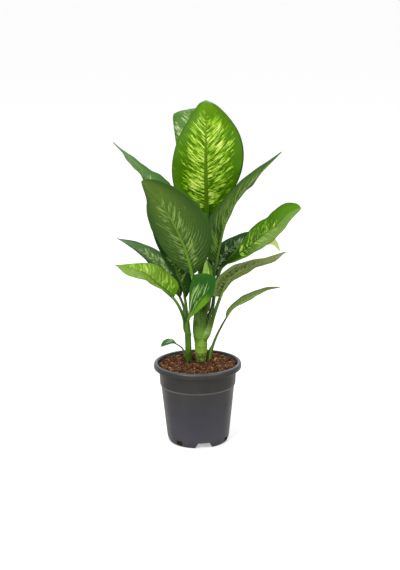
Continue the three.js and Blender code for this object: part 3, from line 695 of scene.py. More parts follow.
def make_pot(material):
    """The shell of the pot, turned from its profile, with the air channels pressed up into its floor and
    the drain slots cut through its bottom corner."""
    lip, top, mouth, wall = POT["lip_radius"], POT["height"], POT["mouth_radius"], POT["wall"]
    under = top - POT["lip_depth"]
    rim = [(lip - 0.8, under), (lip, under + 1), (lip, top - 4.5), (lip - 1.2, top - 1.4), (lip - 3.8, top)]
    rim += [(mouth + 2.2, top - 0.4), (mouth + 0.4, top - 2), (mouth, top - POT["mouth_depth"])]
    shell = [(0, 0), *POT_WALL, *rim, *wall_inside(wall)[::-1], (0, wall)]
    pot = turned("nursery_pot", softened(shell))
    core = turned("core", [(0, wall / 2), *wall_inside(wall / 2)[:5], (0, 127)])
    for cover in channel_bars(wall):
        combined(pot, [combined(cover, [core], "INTERSECT", keep=True)], "UNION")
    bpy.data.objects.remove(core)
    combined(pot, [*channel_bars(0), *drain_bars()], "DIFFERENCE")
    pot.data.materials.clear()
    pot.data.materials.append(material)
    pot.data.polygons.foreach_set("material_index", np.zeros(len(pot.data.polygons), np.int32))
    pot.data.polygons.foreach_set("use_smooth", np.ones(len(pot.data.polygons), bool))
    pot.data.set_sharp_from_angle(angle=math.radians(32))
    return piece(pot, "pot_plastic", "pot")


# Mulch
def bed_height(radius, angle):
    """The soil's low mound with lumps: products of bent sine waves along x and y, broad and fine."""
    share = radius / MULCH["radius"]
    x, y = radius * np.cos(angle), radius * np.sin(angle)
    lumps = np.sin(0.21 * x + 1.7 * np.sin(0.13 * y)) * np.sin(0.24 * y + 1.3 * np.sin(0.17 * x))
    crumbs = np.sin(0.83 * x + 2 * np.sin(0.5 * y)) * np.sin(0.9 * y + 2 * np.sin(0.44 * x))
    return mix(SOIL["crown"], SOIL["edge"], share**2) + 1.3 * lumps + 0.7 * crumbs


def make_bed(material):
    """The top of the mulch as a disc of rings over the CAD soil. Its edge goes down, drawn in by 1.5%, to a
    flat underside."""
    rings, around = MULCH["rings"], MULCH["around"]
    radius = MULCH["radius"] * np.linspace(0, 1, rings + 1)[1:]
    radius, angle = np.meshgrid(radius, angles(around), indexing="ij")
    height = bed_height(radius, angle) + MULCH["lift"]
    points = np.stack([radius * np.cos(angle), radius * np.sin(angle), height], -1).reshape(-1, 3)
    bottom = SOIL["edge"] - MULCH["skirt"]
    skirt = points[-around:] * (0.985, 0.985, 0) + (0, 0, bottom)
    points = np.vstack([points, skirt, (0, 0, float(bed_height(0.0, 0.0)) + MULCH["lift"]), (0, 0, bottom)])
    faces = ring_faces(rings + 1, around)[:, ::-1].tolist()
    middle, floor = (rings + 1) * around, (rings + 1) * around + 1
    faces += [[k, (k + 1) % around, middle] for k in range(around)]
    faces += [[rings * around + (k + 1) % around, rings * around + k, floor] for k in range(around)]
    return piece(put_mesh("mulch_bed", points, faces, [material]), "mulch")


def scattered(rng, count, reach):
    """Places on the bed at an even density, clear of the stems, as x, y and height."""
    radius = reach * np.sqrt(rng.random(3 * count))
    angle = TURN * rng.random(3 * count)
    place = np.stack([radius * np.cos(angle), radius * np.sin(angle)], -1)
    stems = np.array(STEMS)
    clear = (np.linalg.norm(place[:, None] - stems[:, :2], axis=-1) > stems[:, 2]).all(1)
    place, radius, angle = place[clear][:count], radius[clear][:count], angle[clear][:count]
    return np.column_stack([place, bed_height(radius, angle)])


def make_chips(material):
    """Chips of bark: each is a few rings of points along its length, every point pushed about a little,
    turned to lie on the bed at a random bearing with a small tilt. chip_tint is three numbers a chip."""
    rng = np.random.default_rng(MULCH["seed"])
    count, sides, rings = MULCH["chips"], CHIP["sides"], len(CHIP["station"])
    place = scattered(rng, count, MULCH["radius"] - 3)
    long = rng.uniform(*CHIP["length"], count) * rng.choice([1, 1, 1.5], count)
    wide = long * rng.uniform(*CHIP["width"], count)
    thick = wide * rng.uniform(*CHIP["depth"], count)
    turn, size = angles(sides), np.array(CHIP["size"])[:, None]
    x = np.broadcast_to(np.array(CHIP["station"])[:, None], (rings, sides))
    shape = np.stack([x, size * np.cos(turn), size * np.sin(turn)], -1)[None]
    shape = shape + rng.normal(0, CHIP["push"], (count, rings, sides, 3))
    shape = shape * np.stack([long, wide, thick], -1)[:, None, None, :]
    spin, tilt, roll = rng.uniform(0, TURN, count), rng.normal(0, 0.28, count), rng.normal(0, 0.5, count)
    ax = np.stack([np.cos(spin) * np.cos(tilt), np.sin(spin) * np.cos(tilt), np.sin(tilt)], -1)
    ay = unit(np.cross(np.stack([0 * roll, np.sin(roll), np.cos(roll)], -1), ax))
    axes = np.stack([ax, ay, np.cross(ax, ay)], 1)
    place[:, 2] += 1.4 + 0.5 * thick + rng.uniform(-0.8, 1.4, count)
    points = (np.einsum("nijk,nkl->nijl", shape, axes) + place[:, None, None]).reshape(-1, 3)
    values = {"chip_tint": np.repeat(rng.random((count, 3)), rings * sides, axis=0)}
    faces = tube_faces(rings, sides, count)
    made = put_mesh("mulch_chips", points, faces, [material], values=values, smooth_faces=False)
    return piece(made, "mulch")


def make_fibres(material):
    """Coir fibres: short bent threads, each a three-sided tube along an arc that lies on the chips and lifts
    a little in its middle, where it is thickest."""
    rng = np.random.default_rng(MULCH["seed"] + 1)
    count, rings, sides = MULCH["fibres"], FIBRE["rings"], FIBRE["sides"]
    place = scattered(rng, count, MULCH["radius"] - 8)
    share = np.linspace(-1, 1, rings)
    length = rng.uniform(*FIBRE["length"], count)[:, None]
    bend = rng.normal(0, 0.5, count)[:, None]
    spin = rng.uniform(0, TURN, count)[:, None]
    way = spin + bend * share
    x = np.cumsum(np.cos(way), axis=1) * length / rings
    y = np.cumsum(np.sin(way), axis=1) * length / rings
    lift = rng.uniform(*FIBRE["lift"], count)[:, None] + rng.uniform(-0.5, 2, count)[:, None] * (1 - share**2)
    line = np.stack([x - x.mean(1, keepdims=True), y - y.mean(1, keepdims=True), lift], -1) + place[:, None]
    side = np.stack([-np.sin(way), np.cos(way), 0 * way], -1)
    turn = angles(sides)
    radius = (rng.uniform(*FIBRE["radius"], count)[:, None] * (1.05 - share**2))[..., None, None]
    around = side[:, :, None] * np.cos(turn)[:, None] + np.array([0, 0, 1]) * np.sin(turn)[:, None]
    points = (line[:, :, None] + radius * around).reshape(-1, 3)
    values = {"chip_tint": np.repeat(rng.random((count, 3)), rings * sides, axis=0)}
    made = put_mesh("mulch_fibres", points, tube_faces(rings, sides, count), [material], values=values)
    return piece(made, "mulch")


# Materials
def srgb(red, green, blue):
    """A colour as it looks on a screen, 0 to 255, turned into the linear value that a socket takes."""
    share = np.array([red, green, blue]) / 255
    linear = np.where(share <= 0.04045, share / 12.92, ((share + 0.055) / 1.055) ** 2.4)
    return (*linear.tolist(), 1.0)


class Tree:
    """Short ways to add nodes to a node tree. An input is a number, a colour or another node's output."""

    def __init__(self, tree):
        self.tree = tree

    def add(self, kind, **settings):
        node = self.tree.nodes.new(kind)
        for key, value in settings.items():
            setattr(node, key, value)
        return node

    def put(self, socket, value):
        if isinstance(value, bpy.types.NodeSocket):
            self.tree.links.new(value, socket)
        else:
            socket.default_value = value

    def fed(self, node, *values):
        """The node's first output, once its inputs have the values in order."""
        for socket, value in zip(node.inputs, values):
            self.put(socket, value)
        return node.outputs[0]

    def math(self, operation, *values, clamp=False):
        return self.fed(self.add("ShaderNodeMath", operation=operation, use_clamp=clamp), *values)

    def times(self, a, b, plus=None, clamp=False):
        if plus is None:
            return self.math("MULTIPLY", a, b, clamp=clamp)
        return self.math("MULTIPLY_ADD", a, b, plus, clamp=clamp)

    def minus(self, a, b):
        return self.math("SUBTRACT", a, b)

    def vector(self, x, y, z):
        return self.fed(self.add("ShaderNodeCombineXYZ"), x, y, z)

    def parts(self, vector):
        node = self.add("ShaderNodeSeparateXYZ")
        self.put(node.inputs[0], vector)
        return node.outputs

    def attribute(self, name):
        return self.parts(self.add("ShaderNodeAttribute", attribute_name=name).outputs["Vector"])

    def place(self):
        """Where a point is on the object, in metres."""
        return self.add("ShaderNodeTexCoord").outputs["Object"]

    def noise(self, vector, scale, detail=2.0, roughness=0.5):
        node = self.add("ShaderNodeTexNoise", noise_dimensions="3D")
        for key, value in dict(Vector=vector, Scale=scale, Detail=detail, Roughness=roughness).items():
            self.put(node.inputs[key], value)
        return node.outputs[0]

    def streaks(self, *parts, detail=2.0, roughness=0.5):
        """Noise at a place made of three numbers. A part with a scale of its own comes as a pair."""
        parts = [self.times(*part) if isinstance(part, tuple) else part for part in parts]
        return self.noise(self.vector(*parts), 1.0, detail, roughness)

    def smooth(self, value, low, high, start=0.0, end=1.0):
        """start at low, end at high, which may be the lower one, and an even S between."""
        node = self.add("ShaderNodeMapRange", interpolation_type="SMOOTHSTEP")
        return self.fed(node, value, low, high, start, end)

    def blend(self, share, a, b, kind="MIX"):
        node = self.add("ShaderNodeMix", data_type="RGBA", blend_type=kind)
        for index, value in ((0, share), (6, a), (7, b)):
            self.put(node.inputs[index], value)
        return node.outputs[2]

    def layered(self, colour, *layers):
        """A colour with others laid over it in turn, each by its mask. Colours are screen values."""
        colour = srgb(*colour) if isinstance(colour, tuple) else colour
        for mask, over in layers:
            colour = self.blend(mask, colour, srgb(*over))
        return colour

    def group(self, made, **values):
        node = self.add("ShaderNodeGroup", node_tree=made)
        for key, value in values.items():
            self.put(node.inputs[key.replace("_", " ").capitalize()], value)
        return node.outputs


def new_group(name, inputs, outputs):
    """A shader node group with named number inputs and outputs. Returns it, its tree, its inputs by name
    and the sockets that its outputs go to."""
    made = bpy.data.node_groups.new(name, "ShaderNodeTree")
    for key, value in inputs.items():
        socket = made.interface.new_socket(key, in_out="INPUT", socket_type="NodeSocketFloat")
        socket.default_value = value
    for key in outputs:
        made.interface.new_socket(key, in_out="OUTPUT", socket_type="NodeSocketFloat")
    tree = Tree(made)
    return made, tree, tree.add("NodeGroupInput").outputs, tree.add("NodeGroupOutput").inputs


def feather_group():
    """Variegation along the side veins: noise stretched along them, thinning out from the midrib, or from
    Centre, to the margin and to both ends, with broader Patches. Mask is where the marks are, Core the
    paler middle of each."""
    inputs = {
        "Seed": 0.0, "Streaks": 2.0, "Stretch": 0.6, "Extent": 0.8, "Start": 0.03, "Stop": 0.85,
        "Cover": 0.0, "Edge": 0.09, "Middle": 0.6, "Patches": 0.9, "Centre": 0.0,
    }
    made, tree, given, out = new_group("feather_marks", inputs, ("Mask", "Core"))
    phase, away, _ = tree.attribute("vein_place")
    s, t, _ = tree.attribute("leaf_place")
    bent = tree.times(tree.streaks((phase, 0.8), (away, 1.3), 5.0), 0.9, plus=phase)
    fine = tree.streaks(
        (bent, given["Streaks"]), (away, given["Stretch"]), given["Seed"], detail=3.0, roughness=0.6)
    broad = tree.streaks((phase, 0.35), (away, 0.4), tree.math("ADD", given["Seed"], 7.3), detail=1.0)
    off_centre = tree.math("ABSOLUTE", tree.minus(t, given["Centre"]))
    side = tree.minus(1.0, tree.math("DIVIDE", off_centre, given["Extent"]))
    side = tree.math("MINIMUM", side, given["Middle"])
    start = tree.smooth(s, tree.minus(given["Start"], 0.05), tree.math("ADD", given["Start"], 0.05))
    stop = tree.smooth(s, tree.minus(given["Stop"], 0.25), tree.math("ADD", given["Stop"], 0.08))
    level = tree.times(tree.minus(fine, 0.5), 3.0)
    level = tree.times(tree.minus(broad, 0.5), given["Patches"], plus=level)
    level = tree.times(side, 0.95, plus=level)
    level = tree.math("ADD", level, tree.minus(given["Cover"], 0.5))
    level = tree.math("ADD", level, tree.minus(tree.minus(start, stop), 1.0))
    tree.put(out["Mask"], tree.smooth(level, tree.times(given["Edge"], -1.0), given["Edge"]))
    tree.put(out["Core"], tree.smooth(level, given["Edge"], 0.5))
    return made


def vein_group():
    """Line is 1 on each side vein and fades to the margin and past Reach, Rib is 1 on the midrib until it
    fades near the tip, and Height lowers the veins and lays a fine grain between them."""
    inputs = {"Width": 0.1, "Rib width": 0.85, "Reach": 1.0}
    made, tree, given, out = new_group("side_veins", inputs, ("Line", "Rib", "Height"))
    phase, away, rib = tree.attribute("vein_place")
    s, t, _ = tree.attribute("leaf_place")
    wander = tree.streaks((phase, 0.9), away, 1.0, detail=1.0)
    crossed = tree.math("FRACT", tree.math("ADD", tree.times(wander, 0.5, plus=phase), 0.5))
    sharp = tree.smooth(tree.math("ABSOLUTE", tree.minus(crossed, 0.5)), given["Width"], 0.0)
    fade = tree.smooth(tree.math("ABSOLUTE", t), 0.98, 0.4)
    fade = tree.times(fade, tree.smooth(tree.streaks((phase, 0.7), (away, 0.8), 4.0), 0.34, 0.58))
    fade = tree.times(fade, tree.smooth(s, given["Reach"], tree.minus(given["Reach"], 0.3)))
    grain = tree.streaks((phase, 6.0), (away, 3.0), 0.0)
    on_rib = tree.smooth(rib, given["Rib width"], tree.times(given["Rib width"], 0.6))
    tree.put(out["Line"], tree.times(sharp, fade))
    tree.put(out["Rib"], tree.times(on_rib, tree.smooth(s, 0.94, 0.45)))
    tree.put(out["Height"], tree.times(grain, 0.3, plus=tree.times(sharp, -0.5)))
    return made


def grain_group():
    """Soft uneven colour in the object's own space, from broad noise and fine noise."""
    inputs = {"Scale": 40.0, "Fine scale": 400.0, "Seed": 0.0}
    made, tree, given, out = new_group("uneven", inputs, ("Broad", "Fine"))
    moved = tree.add("ShaderNodeVectorMath", operation="ADD")
    moved = tree.fed(moved, tree.place(), tree.vector(given["Seed"], 0.0, 0.0))
    tree.put(out["Broad"], tree.noise(moved, given["Scale"]))
    tree.put(out["Fine"], tree.noise(moved, given["Fine scale"], 3.0, 0.6))
    return made


def new_material(name, roughness, specular=0.5):
    material = bpy.data.materials.new(name)
    material.use_nodes = True
    shader = material.node_tree.nodes["Principled BSDF"]
    shader.inputs["Roughness"].default_value = roughness
    shader.inputs["Specular IOR Level"].default_value = specular
    return material, Tree(material.node_tree), shader


def bump(tree, shader, height, distance, strength=1.0):
    node = tree.add("ShaderNodeBump")
    node.inputs["Strength"].default_value = strength
    node.inputs["Distance"].default_value = distance
    tree.put(node.inputs["Height"], height)
    tree.put(shader.inputs["Normal"], node.outputs[0])


# The looks of the leaves, in screen colours. base, tip and rim make the upper face's green, mark and core
# its feathered marks, line and rib its veins, and those under them the under face. vein_width and rib_width
# are widths in spacings and in midribs, and the side veins stop past line_reach. marks are the feathered
# marks' own numbers. half is the share by which one half, the right where it is positive, takes
# half_colour from half_start on its way out, between half_from and half_stop along the leaf. Past end the
# leaf takes end_colour.
LOOK_DEFAULTS = dict(
    seed=0.0, roughness=0.4, gloss=0.2, vein_width=0.16, line_reach=1.0, rib_width=0.85,
    base=(48, 92, 16), tip=(84, 136, 22), rim=(66, 120, 16), rib=(84, 124, 30),
    mark=(136, 184, 44), core=(206, 232, 118), mark_strength=1.0, marks=dict(),
    line=(60, 104, 16), line_strength=0.25, end=9.0, end_colour=(190, 214, 130),
    half=0.0, half_start=0.0, half_from=-1.0, half_stop=9.0, half_colour=(150, 180, 96),
    under=((62, 98, 24), (84, 114, 40)), under_rim=(60, 92, 24), under_mark=(150, 176, 92), under_marks=0.35,
    under_line=(142, 168, 94), under_lines=0.35, under_rib=(116, 162, 50),
)
LOOKS = {
    "crown_leaf": dict(
        seed=1.0, base=(36, 84, 0), tip=(100, 146, 8), rim=(78, 124, 10), rib=(86, 124, 10), rib_width=1.3,
        gloss=0.1, mark=(138, 192, 12), core=(234, 250, 126),
        marks=dict(
            extent=0.9, cover=0.07, stop=0.93, edge=0.08, streaks=2.1, stretch=0.5, middle=0.55, patches=0.55,
        ),
    ),
    "rear_crown_leaf": dict(
        seed=2.0, base=(48, 96, 24), tip=(94, 142, 48), rim=(80, 128, 36), rib=(150, 178, 120),
        mark=(158, 192, 112), core=(232, 246, 196),
        marks=dict(cover=0.0, extent=1.3, start=0.3, stop=0.92, streaks=1.6),
    ),
    "upper_left_leaf": dict(
        seed=3.0, base=(40, 80, 20), tip=(112, 154, 84), rim=(70, 116, 42), rib=(124, 158, 74),
        mark=(132, 164, 78), core=(196, 212, 146), mark_strength=0.7,
        marks=dict(cover=-0.2, streaks=1.2, centre=-0.2),
    ),
    "front_leaf": dict(
        seed=4.0, under=((50, 86, 22), (90, 120, 38)), under_rib=(106, 150, 38), rib_width=0.7,
        under_lines=0.75, line_reach=0.62, under_rim=(56, 88, 28), under_line=(150, 182, 112),
        under_mark=(156, 186, 92), under_marks=0.75,
        marks=dict(cover=-0.24, extent=0.75, stop=0.92, streaks=2.0, stretch=0.4, patches=0.7),
    ),
    "long_left_leaf": dict(
        seed=5.0, base=(36, 68, 18), tip=(108, 144, 92), rim=(60, 96, 40), rib=(92, 130, 60),
        mark=(132, 166, 84), core=(204, 220, 150), mark_strength=0.9,
        marks=dict(cover=-0.06, streaks=1.2, stretch=1.1),
    ),
    "bright_left_leaf": dict(
        seed=6.0, base=(90, 142, 10), tip=(134, 176, 58), rim=(116, 162, 34), rib=(64, 104, 12),
        mark=(158, 200, 58), core=(206, 230, 118), half=-0.45,
        marks=dict(cover=0.04, extent=1.2, streaks=1.3, stretch=0.35, middle=0.4, patches=0.15, stop=0.95),
    ),
    "inner_left_leaf": dict(
        seed=7.0, base=(26, 60, 4), tip=(46, 82, 18), rim=(34, 68, 12), rib=(72, 108, 30),
        mark=(104, 138, 54), core=(160, 186, 104), mark_strength=0.8, marks=dict(cover=-0.14, streaks=1.4),
    ),
    "folded_leaf": dict(
        seed=8.0, base=(36, 84, 14), tip=(46, 100, 34), rim=(56, 108, 32), rib=(110, 152, 52),
        mark=(134, 178, 92), core=(214, 236, 172), gloss=0.12,
        marks=dict(
            cover=0.12, centre=-0.34, extent=0.45, start=0.0, stop=0.95, streaks=0.8, stretch=0.8,
            middle=0.4, patches=0.3, edge=0.06,
        ),
        half=0.95, half_start=0.22, half_stop=0.62, half_colour=(112, 162, 26),
    ),
    # The rolled leaf's base, tip and rim are painted light, far brighter than the leaf's own green, where
    # light falls on its left half, and its half_colour is a painted shade on its right half.
    "rolled_leaf": dict(
        seed=9.0, base=(196, 250, 92), tip=(226, 255, 140), rim=(196, 246, 100), rib=(196, 228, 110),
        mark=(180, 212, 92), core=(210, 234, 140), marks=dict(cover=-0.6), half=0.9, half_start=0.4,
        half_colour=(92, 140, 24),
    ),
    "upper_right_leaf": dict(
        seed=10.0, vein_width=0.3, under=((32, 68, 10), (92, 130, 42)), under_rib=(112, 152, 54),
        under_lines=0.9, under_rim=(70, 108, 40), under_line=(152, 184, 108), under_marks=0.8,
        under_mark=(132, 178, 44), marks=dict(cover=-0.16, extent=0.9, stop=0.9),
    ),
    "bright_right_leaf": dict(
        seed=11.0, base=(4, 40, 0), tip=(88, 142, 4), rim=(76, 124, 6), rib=(40, 82, 4),
        mark=(148, 196, 46), core=(210, 234, 120), mark_strength=0.8, gloss=0.12,
        marks=dict(cover=0.05, start=0.22, extent=0.9, streaks=1.6, middle=0.45, patches=0.4),
        half=0.7, half_colour=(132, 166, 80), half_from=0.24, rib_width=0.6, line_strength=0.6,
    ),
    "rear_right_leaf": dict(
        seed=12.0, base=(20, 50, 14), tip=(66, 104, 58), rim=(46, 82, 40), rib=(92, 130, 66),
        mark=(128, 162, 100), core=(206, 226, 172), mark_strength=0.9, marks=dict(cover=-0.08),
        end=0.68, end_colour=(232, 250, 150), under=((120, 158, 64), (190, 214, 128)),
        under_rim=(150, 184, 84),
    ),
    "olive_leaf": dict(
        seed=13.0, under=((118, 140, 68), (172, 190, 108)), under_rim=(140, 160, 86),
        under_rib=(144, 172, 78), under_mark=(40, 64, 8), under_marks=0.8, under_line=(176, 198, 120),
        under_lines=0.6, marks=dict(cover=-0.1, streaks=1.2, stretch=1.5, extent=1.0, patches=0.7, edge=0.14),
    ),
    "low_right_leaf": dict(
        seed=14.0, under=((128, 160, 60), (134, 164, 76)), under_rim=(108, 130, 68),
        under_rib=(166, 194, 96), under_lines=0.9, under_line=(184, 206, 124), under_marks=0.3, rib_width=0.8,
    ),
    "offshoot_leaf": dict(
        seed=15.0, base=(52, 98, 34), tip=(64, 112, 50), rim=(62, 112, 50), rib=(66, 112, 50),
        mark=(128, 168, 112), core=(184, 210, 176), mark_strength=0.8, marks=dict(cover=-0.02, streaks=1.0),
    ),
}


def blade_material(name, look):
    """A leaf's colours: green that changes from the neck to the tip and towards the margin, feathered marks
    in two tones, a half and an end of another green, side veins, the midrib, and a duller under side with
    its own marks."""
    look = {**LOOK_DEFAULTS, **look}
    material, tree, shader = new_material(name + "_green", look["roughness"], look["gloss"])
    s, t, face = tree.attribute("leaf_place")
    uneven = tree.group(GROUPS["uneven"], seed=look["seed"], scale=28.0, fine_scale=260.0)
    widths = dict(width=look["vein_width"], reach=look["line_reach"], rib_width=look["rib_width"])
    veins = tree.group(GROUPS["veins"], **widths)
    marks = tree.group(GROUPS["feather"], seed=look["seed"], **look["marks"])
    lengthwise = tree.times(uneven["Broad"], 0.5, plus=tree.minus(s, 0.25), clamp=True)
    rim = tree.smooth(tree.times(uneven["Broad"], 0.2, plus=tree.math("ABSOLUTE", t)), 0.5, 1.05)
    way, low = math.copysign(1, look["half"]), look["half_start"]
    half = tree.smooth(tree.times(t, way), low, low + 0.08, 0.0, abs(look["half"]))
    half = tree.times(half, tree.smooth(s, look["half_from"], look["half_from"] + 0.3))
    half = tree.times(half, tree.smooth(s, look["half_stop"] + 0.15, look["half_stop"]))
    green = tree.layered(
        look["base"],
        (lengthwise, look["tip"]),
        (rim, look["rim"]),
        (tree.times(marks["Mask"], look["mark_strength"]), look["mark"]),
        (tree.times(marks["Core"], look["mark_strength"]), look["core"]),
        (half, look["half_colour"]),
        (tree.smooth(s, look["end"], look["end"] + 0.1), look["end_colour"]),
        (tree.times(veins["Line"], look["line_strength"]), look["line"]),
        (veins["Rib"], look["rib"]),
    )
    dull = tree.layered(
        look["under"][0],
        (lengthwise, look["under"][1]),
        (rim, look["under_rim"]),
        (tree.times(marks["Mask"], look["under_marks"]), look["under_mark"]),
        (tree.times(veins["Line"], look["under_lines"]), look["under_line"]),
        (veins["Rib"], look["under_rib"]),
    )
    colour = tree.blend(tree.smooth(face, 0.35, 0.65), dull, green)
    mottle = tree.smooth(uneven["Fine"], 0.3, 0.7, 0.93, 1.05)
    shade = tree.blend(1.0, colour, tree.vector(mottle, mottle, mottle), "MULTIPLY")
    tree.put(shader.inputs["Base Color"], shade)
    bump(tree, shader, veins["Height"], 0.0006, 0.5)
    return material


# The petioles' colours: at the foot, along the sheath higher up, which is a painted shade under the leaves,
# at the neck, and of the flecks
STEM_GREENS = {
    "green_petiole": ((98, 142, 34), (62, 98, 16), (92, 138, 42), (132, 170, 66)),
    "pale_petiole": ((98, 142, 34), (70, 108, 24), (122, 176, 82), (150, 196, 104)),
    "dark_petiole": ((88, 132, 40), (62, 92, 26), (66, 90, 32), (112, 142, 60)),
    "dusky_petiole": ((112, 160, 48), (96, 84, 62), (92, 96, 66), (130, 140, 84)),
}
# The leaves whose petiole isn't the plain green one
ODD_STEMS = {"front_leaf": "pale_petiole", "low_right_leaf": "dark_petiole", "offshoot_leaf": "dusky_petiole"}
WING_EDGE = (170, 196, 104)


def petiole_material(name):
    """A petiole: bright near the soil, darker from 24 cm up, a painted shade under the leaves, and paler to
    the neck, with fine lengthwise streaks, pale flecks and a pale edge on the sheath's wings."""
    foot, sheath, neck, fleck = STEM_GREENS[name]
    material, tree, shader = new_material(name, 0.4, 0.4)
    share, turn, walked = tree.attribute("stem_place")
    height = tree.parts(tree.place())[2]
    streaks = tree.streaks((turn, 9.0), (walked, 0.25), 3.0, detail=3.0)
    flecks = tree.streaks((turn, 6.0), (walked, 1.6), 9.0)
    green = tree.layered(
        foot,
        # Painted shade: the petiole darkens from 24 cm up, where the leaves shade it.
        (tree.smooth(height, 0.24, 0.29), sheath),
        (tree.smooth(share, 0.4, 1.0), neck),
        (tree.smooth(streaks, 0.48, 0.72, 0.0, 0.5), fleck),
        (tree.smooth(flecks, 0.6, 0.68, 0.0, 0.35), fleck),
        (tree.times(tree.attribute("stem_wing")[0], 0.5), WING_EDGE),
    )
    tree.put(shader.inputs["Base Color"], green)
    bump(tree, shader, streaks, 0.0004, 0.5)
    return material


# The canes' screen colours beside their greens
SKIN = dict(
    covered=(84, 124, 34), sheath_rim=(158, 188, 96), streak=(158, 194, 76), pale=(152, 180, 92),
    bark=(66, 62, 28), ring=(84, 92, 36),
)


def cane_material(name, seed, cane):
    """A living cane: bright smooth green above the soil and darker at the top, a painted shade under the
    leaves, mottled and scaly brown-green near the soil, faint lengthwise streaks, a fine dark line at each
    old leaf's ring, and an old sheath's edge that climbs across it."""
    material, tree, shader = new_material(name, 0.36, 0.35)
    ring, turn, height = tree.attribute("stem_place")
    uneven = tree.group(GROUPS["uneven"], seed=seed, scale=60.0, fine_scale=500.0)
    patchy = tree.minus(uneven["Broad"], 0.5)
    level = tree.times(patchy, 1.4, plus=height)
    start, climb = cane["sheath_edge"]
    edge = tree.minus(height, tree.times(turn, climb, plus=start))
    edge = tree.times(patchy, 0.5, plus=edge)
    covered = tree.smooth(edge, -0.03, 0.06)
    sheath_rim = tree.times(covered, tree.smooth(edge, 0.28, 0.08))
    streaks = tree.streaks((turn, 40.0), (height, 0.3), seed, detail=3.0)
    scaly = tree.streaks((turn, 16.0), (height, 1.3), seed, detail=4.0, roughness=0.65)
    near_soil = tree.smooth(level, cane["bark_top"] + 0.5, cane["bark_top"] - 0.9)
    bark = tree.times(tree.smooth(scaly, 0.46, 0.62), near_soil)
    low, middle, high = cane["greens"]
    green = tree.layered(
        low,
        (tree.smooth(level, 18.5, 20.0), middle),
        # Painted shade: the top of the cane is darker, under the leaves.
        (tree.smooth(level, 23.5, 27.0), high),
        (tree.smooth(uneven["Broad"], 0.45, 0.7, 0.0, 0.6), high),
        (tree.times(covered, 0.6), SKIN["covered"]),
        (tree.times(sheath_rim, 0.7), SKIN["sheath_rim"]),
        (tree.smooth(streaks, 0.5, 0.75, 0.0, 0.25), SKIN["streak"]),
        (tree.times(tree.times(tree.smooth(scaly, 0.5, 0.4), near_soil), 0.6), SKIN["pale"]),
        (tree.times(bark, 0.85), SKIN["bark"]),
        (tree.times(ring, 0.15), SKIN["ring"]),
    )
    tree.put(shader.inputs["Base Color"], green)
    relief = tree.times(bark, 0.8, plus=streaks)
    bump(tree, shader, tree.times(covered, 1.5, plus=relief), 0.0006, 0.7)
    return material


# The pot's screen colours, in the order in which they are laid over each other. The darker band under the lip
# and the dark inside are painted shade, and the pale sheen at a low angle, the pale line on the step and the
# rim's pale edge are painted highlights.
PLASTIC = dict(
    low=(60, 60, 73), high=(46, 44, 47), band=(34, 31, 28), grazing_sheen=(142, 130, 122), cloud=(72, 67, 63),
    inside=(16, 16, 19), step_highlight=(124, 120, 116), dust=(112, 104, 98), rim=(92, 98, 110),
)
# The heights, in metres, between which some of them begin or end. mouth and rim_inner are radii.
PLASTIC_AT = dict(
    high=(0.02, 0.12), band=(0.129, 0.133), inside=(0.166, 0.168), mouth=(0.0878, 0.0866),
    step_foot=(0.1262, 0.1275), step_top=(0.1308, 0.1296), dust=(0.05, 0.0), rim=(0.1755, 0.1795),
    rim_inner=(0.0875, 0.0885),
)


def pot_material():
    """Black moulded plastic: a satin face with faint flow marks round it, fine moulded grain, a painted sheen
    where it is seen at a low angle, a darker band under the lip and a darker inside that are painted shade, a
    painted highlight along the step, dust low on the wall and a painted bluish highlight along the rim's top."""
    material, tree, shader = new_material("black_plastic", 0.42, 0.8)
    x, y, z = tree.parts(tree.place())
    uneven = tree.group(GROUPS["uneven"], seed=2.0, scale=18.0, fine_scale=900.0)
    flow = tree.streaks((x, 9.0), (y, 9.0), (z, 60.0), detail=3.0)
    grazing = tree.add("ShaderNodeLayerWeight")
    grazing.inputs["Blend"].default_value = 0.5
    out = tree.math("SQRT", tree.math("ADD", tree.times(x, x), tree.times(y, y)))
    inside = tree.times(tree.smooth(out, *PLASTIC_AT["mouth"]), tree.smooth(z, *PLASTIC_AT["inside"]))
    on_step = tree.times(tree.smooth(z, *PLASTIC_AT["step_foot"]), tree.smooth(z, *PLASTIC_AT["step_top"]))
    dust = tree.times(tree.smooth(z, *PLASTIC_AT["dust"]), tree.smooth(uneven["Broad"], 0.35, 0.7))
    rim_highlight = tree.smooth(tree.times(flow, 0.004, plus=z), *PLASTIC_AT["rim"])
    black = tree.layered(
        PLASTIC["low"],
        (tree.smooth(z, *PLASTIC_AT["high"]), PLASTIC["high"]),
        # Painted shade: the wall is darker from the step up, under the lip.
        (tree.smooth(z, *PLASTIC_AT["band"]), PLASTIC["band"]),
        # Painted sheen: paler where the wall is seen at a low angle.
        (tree.smooth(grazing.outputs["Facing"], 0.45, 0.95, 0.0, 0.8), PLASTIC["grazing_sheen"]),
        (tree.smooth(uneven["Broad"], 0.35, 0.75, 0.0, 0.3), PLASTIC["cloud"]),
        # Painted shade on the inner wall below the rim.
        (inside, PLASTIC["inside"]),
        # Painted highlight along the step, broken up by the flow marks.
        (tree.times(on_step, tree.smooth(flow, 0.25, 0.6, 0.45, 0.85)), PLASTIC["step_highlight"]),
        (tree.times(dust, 0.2), PLASTIC["dust"]),
        # Painted bluish highlight along the rim's top edge.
        (tree.times(rim_highlight, tree.smooth(out, *PLASTIC_AT["rim_inner"], 0.0, 0.5)), PLASTIC["rim"]),
    )
    tree.put(shader.inputs["Base Color"], black)
    tree.put(shader.inputs["Roughness"], tree.smooth(flow, 0.3, 0.7, 0.36, 0.5))
    bump(tree, shader, tree.times(uneven["Fine"], 0.5, plus=flow), 0.0004, 0.35)
    return material


# The mulch's screen colours: the bed's and the chips' two browns, and what is laid over them; the last is a
# painted shade round the canes
EARTH = dict(
    bed=((28, 16, 9), (78, 48, 28)), chip=((52, 28, 14), (136, 84, 50)), tan=(190, 142, 102),
    black=(30, 17, 9), grain=(172, 124, 82), cane_shade=(20, 12, 6),
)


